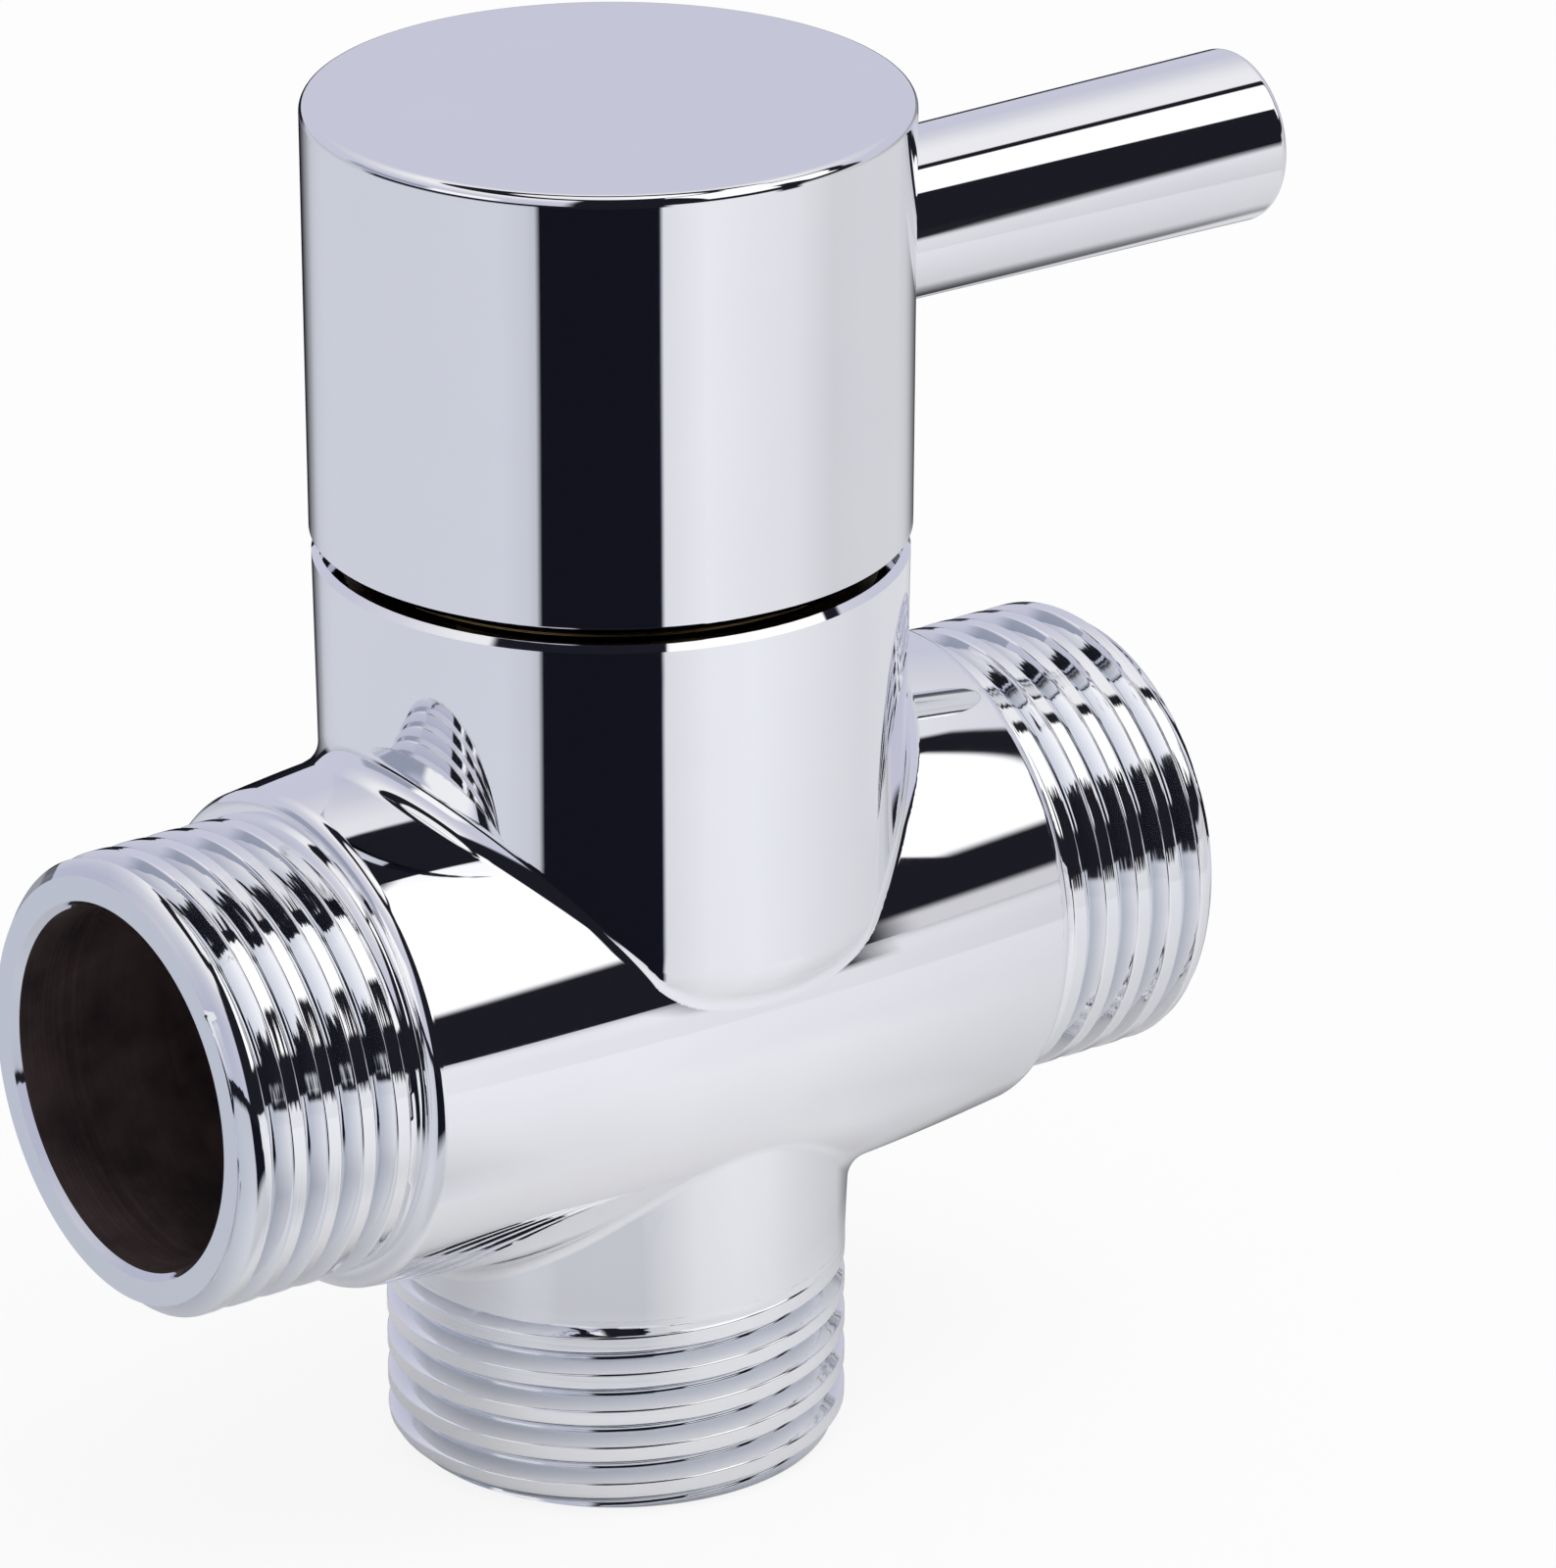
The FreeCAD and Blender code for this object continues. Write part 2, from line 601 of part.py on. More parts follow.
def add_flatted_round(sketch, radius, flats):
    """A round with two flats across it, the flats along the sketch's X."""
    size, half = value(radius), value(flats) / 2
    reach = math.sqrt(size ** 2 - half ** 2)
    lean = math.atan2(half, reach)
    zero, normal = FreeCAD.Vector(), FreeCAD.Vector(0, 0, 1)
    rim = Part.Circle(zero, normal, size)
    ends = [FreeCAD.Vector(x, y, 0) for y in (half, -half) for x in (reach, -reach)]
    right = sketch.addGeometry(Part.ArcOfCircle(rim, -lean, lean))
    left = sketch.addGeometry(Part.ArcOfCircle(rim, math.pi - lean, math.pi + lean))
    top = sketch.addGeometry(Part.LineSegment(ends[0], ends[1]))
    low = sketch.addGeometry(Part.LineSegment(ends[3], ends[2]))
    for arc in (right, left):
        sketch.addConstraint(Sketcher.Constraint("Coincident", arc, 3, -1, 1))
        held = sketch.addConstraint(Sketcher.Constraint("Radius", arc, size))
        sketch.setExpression(f"Constraints[{held}]", radius)
    for before, after in ((right, top), (top, left), (left, low), (low, right)):
        sketch.addConstraint(Sketcher.Constraint("Coincident", before, 2, after, 1))
    for line, expression in ((top, f"({flats}) / 2"), (low, f"-({flats}) / 2")):
        sketch.addConstraint(Sketcher.Constraint("Horizontal", line))
        hold(sketch, line, 1, "DistanceY", expression)


foot_hole = new_sketch(driver, "foot_hole_outline", "XY_Plane", lift=str(-OVERRUN))
foot_hole_flats = total("foot_flats", f"2 * {cell('foot_fit')}")
add_flatted_round(foot_hole, total("spindle_radius", "foot_fit"), foot_hole_flats)
pocket(driver, "foot_hole", foot_hole, total("driver_thickness", str(2 * OVERRUN)))


def add_sector(sketch, inner, outer, half_angle):
    """A ring sector centred on the sketch's X."""
    small, large, angle = value(inner), value(outer), math.radians(value(half_angle))
    zero, normal = FreeCAD.Vector(), FreeCAD.Vector(0, 0, 1)
    rim = sketch.addGeometry(Part.ArcOfCircle(Part.Circle(zero, normal, large), -angle, angle))
    core = sketch.addGeometry(Part.ArcOfCircle(Part.Circle(zero, normal, small), -angle, angle))
    for arc, radius in ((rim, outer), (core, inner)):
        sketch.addConstraint(Sketcher.Constraint("Coincident", arc, 3, -1, 1))
        held = sketch.addConstraint(Sketcher.Constraint("Radius", arc, value(radius)))
        sketch.setExpression(f"Constraints[{held}]", radius)
        swing = f"({radius}) * sin(({half_angle}) * 1 deg)"
        hold(sketch, arc, 2, "DistanceY", swing)
        hold(sketch, arc, 1, "DistanceY", f"-({swing})")
    for point in (1, 2):
        places = [sketch.getPoint(core, point), sketch.getPoint(rim, point)]
        side = sketch.addGeometry(Part.LineSegment(*places))
        sketch.addConstraint(Sketcher.Constraint("Coincident", side, 1, core, point))
        sketch.addConstraint(Sketcher.Constraint("Coincident", side, 2, rim, point))


# The driver turns the other way round the fixed stop, so its notch runs on from the stop's bearing
stop_inner = less(housing_inner, "stop_depth")
notch_bearing = value(f"{cell('stop_bearing')} + {cell('throw_angle')} / 2")
stop_notch = new_sketch(driver, "stop_notch_outline", "XY_Plane", lift=str(-OVERRUN), turn=notch_bearing)
notch_half = f"({cell('throw_angle')} + {cell('stop_angle')}) / 2 + {cell('stop_slack')}"
add_sector(stop_notch, less(stop_inner, "stop_gap"), total(driver_radius, str(OVERRUN)), notch_half)
pocket(driver, "stop_notch", stop_notch, total("driver_thickness", str(2 * OVERRUN)))

# Spindle: flatted foot, thrust collar, shank with two seal grooves and a clip groove, splined head
spindle = new_body("spindle", driver_at)


def from_driver(height):
    """A height on the valve's axis, counted from the driver's lower face."""
    return less(height, driver_at)


neck_middle = f"({from_driver(housing_shoulder)}) + {cell('housing_neck_length')} / 2"
lower_groove = f"{neck_middle} - {cell('ring_pitch')} / 2 - {cell('ring_groove_width')} / 2"
upper_groove = f"{neck_middle} + {cell('ring_pitch')} / 2 - {cell('ring_groove_width')} / 2"
shank = cell("spindle_radius")
shank_end = from_driver(hub_end)
spindle_profile = [
    ("0", collar_at),
    (cell("collar_radius"), collar_at),
    (cell("collar_radius"), cell("driver_thickness")),
    (shank, cell("driver_thickness")),
]
grooves = [
    (lower_groove, cell("ring_groove_width"), cell("ring_groove_radius")),
    (upper_groove, cell("ring_groove_width"), cell("ring_groove_radius")),
    (from_driver(clip_at), total("clip_thickness", "clip_play"), cell("clip_groove_radius")),
]
for start, width, floor in grooves:
    end = f"{start} + {width}"
    spindle_profile += [(shank, start), (floor, start), (floor, end), (shank, end)]
spindle_profile += [(shank, shank_end), ("0", shank_end)]
turn_profile(spindle, "shank", spindle_profile)
foot = new_sketch(spindle, "foot_outline", "XY_Plane")
add_flatted_round(foot, shank, cell("foot_flats"))
pad(spindle, "foot", foot, total(collar_at, "collar_thickness"))


def spline_plan(fit):
    """Corners of the toothed section: a flat crest and a flat root for each tooth."""
    tip, root = total("spline_tip", fit), total("spline_root", fit)
    flank = [(-SPLINE_ROOT, root), (-SPLINE_CREST, tip), (SPLINE_CREST, tip), (SPLINE_ROOT, root)]
    corners = []
    for tooth in range(SPLINE_TEETH):
        for share, reach in flank:
            angle = (tooth + share) * 360.0 / SPLINE_TEETH
            corners.append((f"({reach}) * cos({angle:.3f} deg)", f"({reach}) * sin({angle:.3f} deg)"))
    return corners


head = new_sketch(spindle, "splined_head_outline", "XY_Plane", lift=shank_end)
add_loop(head, spline_plan("0"))
pad(spindle, "splined_head", head, cell("spline_length"))

# Glide washer between the driver and the housing's ceiling
washer = new_body("glide_washer", washer_at)
turn_profile(washer, "ring", ring_section(housing_bore, washer_radius, "0", cell("washer_thickness")))

# Cartridge housing: a skirt round the discs, a roof, and a neck that guides the spindle
housing = new_body("cartridge_housing", total(chamber_floor, "base_flange"))


def from_skirt(height):
    """A height on the valve's axis, counted from the housing's lower edge."""
    return less(height, chamber_floor, "base_flange")


turn_profile(housing, "shell", [
    (housing_inner, "0"),
    (cartridge_radius, "0"),
    (cartridge_radius, from_skirt(housing_shoulder)),
    (cell("housing_neck_radius"), from_skirt(housing_shoulder)),
    (cell("housing_neck_radius"), from_skirt(housing_top)),
    (housing_bore, from_skirt(housing_top)),
    (housing_bore, from_skirt(ceiling)),
    (housing_inner, from_skirt(ceiling)),
])
stop_foot = total(driver_at, "stop_gap")
stop_outer = f"{housing_inner} + {cell('cartridge_wall')} / 2"
stop_turn = value(cell("stop_bearing"))
stop = new_sketch(housing, "stop_outline", "XY_Plane", from_skirt(stop_foot), turn=stop_turn)
add_sector(stop, stop_inner, stop_outer, f"{cell('stop_angle')} / 2")
pad(housing, "stop", stop, f"{less(ceiling, stop_foot)} + {cell('housing_roof')} / 2")

# Seal ring squeezed between the body's step, the housing and the gland nut's lower edge
gland_ring = new_body("housing_oring", gland_thread_start)
gland_ring_inner = total(cartridge_radius, "gland_ring_fit")
gland_ring_outer = less(gland_thread_radius, "gland_ring_fit")


def soft_ring(body, inner, outer, height):
    """A squeezed ring of rubber: a flat-sided section with rounded corners."""
    section = ring_section(inner, outer, "0", height)
    turn_profile(body, "ring", [(across, up, cell("ring_rounding")) for across, up in section])


soft_ring(gland_ring, gland_ring_inner, gland_ring_outer, cell("gland_ring_height"))

# Gland nut: a threaded skirt, a flange on the housing's shoulder and a hexagon inside the handle
nut_foot = total(gland_thread_start, "gland_ring_height")
gland_nut = new_body("gland_nut", nut_foot)
skirt_outer = less(gland_thread_radius, "gland_thread_fit")
skirt_inner = total(cartridge_radius, "gland_thread_fit")
shoulder_up = less(housing_shoulder, nut_foot)
flange_top = total(shoulder_up, "gland_flange")
turn_profile(gland_nut, "skirt", [
    (skirt_inner, "0"),
    (skirt_outer, "0"),
    (skirt_outer, flange_top),
    (neck_sleeve, flange_top),
    (neck_sleeve, shoulder_up),
    (skirt_inner, shoulder_up),
])
hexagon = new_sketch(gland_nut, "hexagon_outline", "XY_Plane", lift=shoulder_up)
corner_reach = f"({less(gland_thread_radius, 'gland_hex_inset')}) / cos(30 deg)"
add_loop(hexagon, [
    (f"{corner_reach} * cos({bearing} deg)", f"{corner_reach} * sin({bearing} deg)")
    for bearing in range(15, 360, 60)
])
pad(gland_nut, "hexagon", hexagon, total("gland_flange", "gland_hex_height"))
sleeve = new_sketch(gland_nut, "sleeve_outline", "XY_Plane", lift=shoulder_up)
add_circle(sleeve, neck_sleeve)
pocket(gland_nut, "sleeve", sleeve, total("gland_flange", "gland_hex_height", str(OVERRUN)))

# Spindle seals, seated on the lower face of their grooves
seal_lift = f"({cell('ring_groove_width')} - {cell('ring_height')}) / 2"
spindle_rings = []
for label, start in (("spindle_oring_lower", lower_groove), ("spindle_oring_upper", upper_groove)):
    ring = new_body(label, f"{driver_at} + {start} + {seal_lift}")
    ring_outer = less(housing_bore, "ring_running_fit")
    soft_ring(ring, cell("ring_groove_radius"), ring_outer, cell("ring_height"))
    spindle_rings.append(ring)

# Retaining clip: an open ring snapped into the spindle above the housing's neck
clip = new_body("retaining_clip", clip_at)
clip_plan = new_sketch(clip, "ring_outline", "XY_Plane", turn=90.0)
clip_inner = total("clip_groove_radius", "clip_play")
add_sector(clip_plan, clip_inner, cell("clip_radius"), f"180 - {cell('clip_gap_angle')} / 2")
pad(clip, "ring", clip_plan, cell("clip_thickness"))

# Handle knob: a drafted cup with a splined hub and a rib that carries the lever's stud
knob = new_body("handle_knob", knob_at)
knob_inside = less("knob_height", "knob_crown")
hub_bottom = less(hub_end, knob_at)
turn_profile(knob, "cup", [
    (knob_inner, "0"),
    (less(knob_radius, "rim_chamfer"), "0"),
    (knob_radius, cell("rim_chamfer")),
    (total(knob_radius, "knob_draft"), cell("knob_height"), cell("knob_edge_rounding")),
    ("0", cell("knob_height")),
    ("0", hub_bottom),
    (cell("hub_radius"), hub_bottom),
    (cell("hub_radius"), knob_inside),
    (knob_inner, knob_inside),
])
rib = new_sketch(knob, "rib_outline", "XY_Plane", lift=hub_bottom)
rib_start = f"{cell('hub_radius')} / 2"
rib_end = f"{knob_inner} + {cell('knob_wall')} / 2"
add_loop(rib, block(rib_start, rib_end, cell("rib_width")))
pad(knob, "rib", rib, f"{less(knob_inside, hub_bottom)} + {cell('knob_crown')} / 2")
spline_hole = new_sketch(knob, "spline_hole_outline", "XY_Plane", lift=less(hub_bottom, str(OVERRUN)))
add_loop(spline_hole, spline_plan(cell("spline_fit")))
pocket(knob, "spline_hole", spline_hole, total("spline_length", str(OVERRUN)))
stud_hole = new_sketch(knob, "stud_hole_outline", "YZ_Plane", rise=cell("lever_height"))
add_circle(stud_hole, total("stud_radius", "stud_fit"))
pocket(knob, "stud_hole", stud_hole, total(knob_radius, str(OVERRUN)))
lever_face = new_sketch(knob, "lever_face_outline", "YZ_Plane", lift=lever_seat, rise=cell("lever_height"))
add_circle(lever_face, total("lever_radius", "lever_seat_fit"))
pocket(knob, "lever_face", lever_face, cell("knob_wall"))

# Lever rod: a stud that locks the hub on the spindle, and a rod that swells to its end
lever = new_body("lever_rod", lever_axis)
stud_tip = total("spline_tip", "spline_fit")
turn_profile(lever, "rod", [
    (stud_tip, "0"),
    (stud_tip, less("stud_radius", "stud_tip_chamfer")),
    (total(stud_tip, "stud_tip_chamfer"), cell("stud_radius")),
    (lever_seat, cell("stud_radius")),
    (lever_seat, cell("lever_radius")),
    (lever_end, cell("lever_end_radius"), cell("lever_end_rounding")),
    (lever_end, "0"),
], axis="H_Axis")

doc.recompute()

pieces = [
    valve_body, base, lower_seal, upper_seal, fixed_disc, moving_disc, driver, spindle, washer, housing,
    gland_ring, gland_nut, *spindle_rings, clip, knob, lever,
]

# Every object has to be sound before anything is written
for part in doc.Objects:
    if "Invalid" in part.State or "Error" in part.State:
        raise RuntimeError(f"{part.Name} failed: {part.State}")
for piece in pieces:
    if piece.Shape.isNull() or not piece.Shape.isValid() or len(piece.Shape.Solids) != 1:
        raise RuntimeError(f"{piece.Label} is not one sound solid")

os.makedirs("parts", exist_ok=True)
for piece in pieces:
    piece.Shape.exportStep(f"parts/{piece.Label}.step")
    print(f"{piece.Label}: {piece.Shape.Volume:.1f} mm3, {len(piece.Shape.Faces)} faces")
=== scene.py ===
import math

import bmesh
import bpy
import numpy as np
from mathutils import Matrix, Vector


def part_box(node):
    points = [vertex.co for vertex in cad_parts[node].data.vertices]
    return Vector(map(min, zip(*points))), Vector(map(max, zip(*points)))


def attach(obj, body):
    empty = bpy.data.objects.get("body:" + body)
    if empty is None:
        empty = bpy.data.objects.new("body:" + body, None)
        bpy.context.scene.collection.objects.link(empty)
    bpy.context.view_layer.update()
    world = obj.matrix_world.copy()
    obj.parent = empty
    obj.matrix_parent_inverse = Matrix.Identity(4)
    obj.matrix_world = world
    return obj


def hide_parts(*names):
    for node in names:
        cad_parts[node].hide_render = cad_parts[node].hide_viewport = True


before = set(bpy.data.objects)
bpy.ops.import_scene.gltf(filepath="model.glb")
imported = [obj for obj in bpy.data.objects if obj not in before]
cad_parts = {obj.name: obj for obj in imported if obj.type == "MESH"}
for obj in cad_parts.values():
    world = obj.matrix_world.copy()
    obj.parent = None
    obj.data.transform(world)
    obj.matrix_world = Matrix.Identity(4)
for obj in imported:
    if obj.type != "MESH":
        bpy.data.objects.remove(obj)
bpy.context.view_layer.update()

# Valve body
# A hot-forged brass T, turned on its drum and ports, then polished and plated with bright chrome.
# The water ways and the cartridge chamber inside it stay as they were bored, without plating.

mm = 0.001
port_height = 23.25
collar_cut = 16.9
neck_cut = 9.6


def joined(node):
    """The corners and triangles of a CAD node, in metres, with corners that coincide made one."""
    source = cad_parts[node].data
    points = np.empty(len(source.vertices) * 3, np.float32)
    source.vertices.foreach_get("co", points)
    corners = np.empty(len(source.loops), np.int32)
    source.loops.foreach_get("vertex_index", corners)
    points = points.reshape(-1, 3)
    steps_per_metre = 1e7
    keys = np.round(points * steps_per_metre).astype(np.int64)
    first, index = np.unique(keys, axis=0, return_index=True, return_inverse=True)[1:]
    return points[first], index.ravel()[corners].reshape(-1, 3)


def new_piece(name, mesh, body, materials):
    """An object at the origin that holds the mesh, rides on a body and takes the materials it is given."""
    piece = bpy.data.objects.new(name, mesh)
    bpy.context.scene.collection.objects.link(piece)
    for material in materials:
        mesh.materials.append(material)
    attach(piece, body)
    return piece


def mesh_places(mesh):
    """The places of a mesh's points, in mm."""
    places = np.empty(len(mesh.vertices) * 3, np.float32)
    mesh.vertices.foreach_get("co", places)
    return places.reshape(-1, 3).astype(float) / mm


def face_middles(mesh):
    """The middle of every face of a mesh, in mm."""
    middles = np.empty(len(mesh.polygons) * 3, np.float32)
    mesh.polygons.foreach_get("center", middles)
    return middles.reshape(-1, 3).astype(float) / mm


neck_foot, neck_top = np.array([10.4775, 9.1]), np.array([11.1, 24.61])
foot = np.array([13.05, 25.6])
foot_round = 3.0
drum_rim = np.array([13.35, 42.9])
collar_edge, collar_radius = 16.95, 11.4
belly_rise = 1.96
belly_round = 0.97 * collar_edge ** 2 / belly_rise
belly_centre = collar_radius + belly_rise - belly_round * math.hypot(1, belly_rise / collar_edge)
crossing_fillet = 1.2


def upright_profile():
    """Radius and height along the turned upright: the neck, the foot's cone, the arc that bends it into
    the drum at a tangent to both, and the drum, which opens slightly up to its rim."""
    into = (foot - neck_top) / np.linalg.norm(foot - neck_top)
    out = (drum_rim - foot) / np.linalg.norm(drum_rim - foot)
    bend = math.acos(into @ out)
    normal = np.array([-into[1], into[0]])
    centre = foot - foot_round * math.tan(bend / 2) * into + foot_round * normal
    swing = np.linspace(0, bend, 49)[:, None]
    arc = centre + foot_round * (np.sin(swing) * into - np.cos(swing) * normal)
    return np.vstack([neck_foot, neck_top, arc, drum_rim, [drum_rim[0], 60]])


def upright_gap(points):
    """Distance from the upright and the direction away from it, outwards positive: the nearest place on
    the profile's straight steps, found for radius and height and swung back round the axis."""
    profile = upright_profile()
    ring = np.hypot(points[:, 0], points[:, 1])
    flat = np.stack([ring, points[:, 2]], 1)
    start, step = profile[:-1], np.diff(profile, axis=0)
    share = np.einsum("nmk,mk->nm", flat[:, None] - start, step) / (step ** 2).sum(1)
    off = flat[:, None] - start - np.clip(share, 0, 1)[..., None] * step
    far = np.linalg.norm(off, axis=2)
    nearest = far.argmin(1)
    rows = np.arange(len(points))
    off, far = off[rows, nearest], far[rows, nearest]
    side = np.where(ring > np.interp(points[:, 2], profile[:, 1], profile[:, 0]), 1.0, -1.0)
    away = off / np.maximum(far, 1e-9)[:, None] * side[:, None]
    round_axis = points[:, :2] / np.maximum(ring, 1e-9)[:, None]
    return far * side, np.column_stack([away[:, :1] * round_axis, away[:, 1]])


def barrel_gap(points):
    """Distance from the two side barrels' common belly, and the direction away from it: the belly is
    an arc about a far centre across the ports' axis, swung round that axis."""
    off = points - np.array([0, 0, port_height])
    ring = np.linalg.norm(off[:, 1:], axis=1)[:, None]
    lift = ring - belly_centre
    far = np.hypot(off[:, :1], lift)
    return far[:, 0] - belly_round, np.hstack([off[:, :1] / far, off[:, 1:] / ring * lift / far])


def upright_normals(points):
    """Directions square to the upright: out from the axis, tipped by the profile's slope at that height."""
    profile = upright_profile()
    middles = (profile[1:, 1] + profile[:-1, 1]) / 2
    lean = np.diff(profile[:, 0]) / np.diff(profile[:, 1])
    slope = np.interp(points[:, 2], middles[1:-1], lean[1:-1])
    slope[points[:, 2] < neck_top[1]] = lean[0]
    normals = np.column_stack([points[:, :2] / np.hypot(points[:, 0], points[:, 1])[:, None], -slope])
    return normals / np.linalg.norm(normals, axis=1, keepdims=True)


def fillet_balls(points, guess):
    """Centres of the ball that rolls along the crossing: where both gaps equal its radius, level with
    the point along the crossing, found by Newton's steps from a first guess of the way outwards. Returns
    the centres, the ways out to them, and which of them have settled at the radius."""
    slack = 0.2
    centre = points + crossing_fillet * guess
    for step in range(10):
        gap_a, away_a = upright_gap(centre)
        gap_b, away_b = barrel_gap(centre)
        along = np.cross(away_a, away_b)
        along /= np.maximum(np.linalg.norm(along, axis=1), 1e-6)[:, None]
        level = np.einsum("ij,ij->i", centre - points, along)
        wrong = np.column_stack([gap_a - crossing_fillet, gap_b - crossing_fillet, level])
        slopes = np.stack([away_a, away_b, along], 1) + 1e-9 * np.eye(3)
        centre = centre - np.linalg.solve(slopes, wrong[..., None])[..., 0]
    reach = np.linalg.norm(centre - points, axis=1)
    outwards = (centre - points) / np.maximum(reach, 1e-9)[:, None]
    return centre, outwards, np.abs(reach - crossing_fillet) < slack


def beside_fillet(places, least):
    """Which places lie outside both forms by the least gap, close to both, and below the rim."""
    widest, under_rim = 0.8, 1.0
    gaps = np.stack([upright_gap(places)[0], barrel_gap(places)[0]])
    return (gaps.min(0) > least) & (gaps.max(0) < widest) & (places[:, 2] < drum_rim[1] - under_rim)


def plating_group():
    """Bright plating: polishing haze as large soft noise, specks as fine noise, and a height that adds
    the slight waviness of polished metal to the lines that a turning tool leaves along its axis."""
    tree = bpy.data.node_groups.new("bright_plating", "ShaderNodeTree")
    for name in ("Clean", "Hazed"):
        tree.interface.new_socket(name, in_out="INPUT", socket_type="NodeSocketColor")
    for name in ("Gloss", "Haze", "Lines", "Along"):
        tree.interface.new_socket(name, in_out="INPUT", socket_type="NodeSocketFloat")
    tree.interface.new_socket("Place", in_out="INPUT", socket_type="NodeSocketVector")
    tree.interface.new_socket("Color", in_out="OUTPUT", socket_type="NodeSocketColor")
    tree.interface.new_socket("Roughness", in_out="OUTPUT", socket_type="NodeSocketFloat")
    tree.interface.new_socket("Height", in_out="OUTPUT", socket_type="NodeSocketFloat")
    given, put = tree.nodes.new("NodeGroupInput"), tree.nodes.new("NodeGroupOutput")
    link = tree.links.new

    def noise(scale, detail):
        """A noise on the surface's place."""
        node = tree.nodes.new("ShaderNodeTexNoise")
        node.inputs["Scale"].default_value = scale
        node.inputs["Detail"].default_value = detail
        link(given.outputs["Place"], node.inputs["Vector"])
        return node.outputs["Fac"]

    cloud, speck, wave = noise(130.0, 4.0), noise(2600.0, 2.0), noise(90.0, 1.0)
    tone = tree.nodes.new("ShaderNodeMix")
    tone.data_type = "RGBA"
    link(cloud, tone.inputs["Factor"])
    link(given.outputs["Clean"], tone.inputs["A"])
    link(given.outputs["Hazed"], tone.inputs["B"])
    link(tone.outputs["Result"], put.inputs["Color"])

    bloom = tree.nodes.new("ShaderNodeMath")
    bloom.operation = "MULTIPLY"
    link(cloud, bloom.inputs[0])
    link(given.outputs["Haze"], bloom.inputs[1])
    dull = tree.nodes.new("ShaderNodeMath")
    dull.operation = "MULTIPLY_ADD"
    link(speck, dull.inputs[0])
    link(bloom.outputs["Value"], dull.inputs[1])
    link(given.outputs["Gloss"], dull.inputs[2])
    link(dull.outputs["Value"], put.inputs["Roughness"])

    lines = tree.nodes.new("ShaderNodeTexNoise")
    lines.noise_dimensions = "1D"
    lines.inputs["Scale"].default_value = 5000.0
    link(given.outputs["Along"], lines.inputs["W"])
    height = tree.nodes.new("ShaderNodeMath")
    height.operation = "MULTIPLY_ADD"
    link(lines.outputs["Fac"], height.inputs[0])
    link(given.outputs["Lines"], height.inputs[1])
    link(wave, height.inputs[2])
    link(height.outputs["Value"], put.inputs["Height"])
    return tree


bright_plating = plating_group()


def new_material(name):
    """An empty material with a Principled shader; returns the material, its tree and the shader."""
    material = bpy.data.materials.new(name)
    material.use_nodes = True
    tree = material.node_tree
    return material, tree, tree.nodes["Principled BSDF"]


def object_place(tree):
    """The socket that gives a point's place in the object's own frame, in metres."""
    return tree.nodes.new("ShaderNodeTexCoord").outputs["Object"]


def add_bump(tree, shader, height, strength, distance):
    """A bump of the given height in front of the shader's normal."""
    bump = tree.nodes.new("ShaderNodeBump")
    bump.inputs["Strength"].default_value = strength
    bump.inputs["Distance"].default_value = distance
    tree.links.new(height, bump.inputs["Height"])
    tree.links.new(bump.outputs["Normal"], shader.inputs["Normal"])


def chrome(name, gloss, haze, lines, wave, axis):
    """Chrome plate with its own gloss, haze, turning lines along an axis, and waviness."""
    material, tree, shader = new_material(name)
    place = object_place(tree)
    split = tree.nodes.new("ShaderNodeSeparateXYZ")
    tree.links.new(place, split.inputs["Vector"])
    plating = tree.nodes.new("ShaderNodeGroup")
    plating.node_tree = bright_plating
    plating.inputs["Clean"].default_value = (0.93, 0.93, 0.945, 1)
    plating.inputs["Hazed"].default_value = (0.885, 0.888, 0.915, 1)
    plating.inputs["Gloss"].default_value = gloss
    plating.inputs["Haze"].default_value = haze
    plating.inputs["Lines"].default_value = lines
    tree.links.new(split.outputs[axis], plating.inputs["Along"])
    tree.links.new(place, plating.inputs["Place"])
    tree.links.new(plating.outputs["Color"], shader.inputs["Base Color"])
    tree.links.new(plating.outputs["Roughness"], shader.inputs["Roughness"])
    add_bump(tree, shader, plating.outputs["Height"], wave, 0.0004)
    shader.inputs["Metallic"].default_value = 1.0
    return material


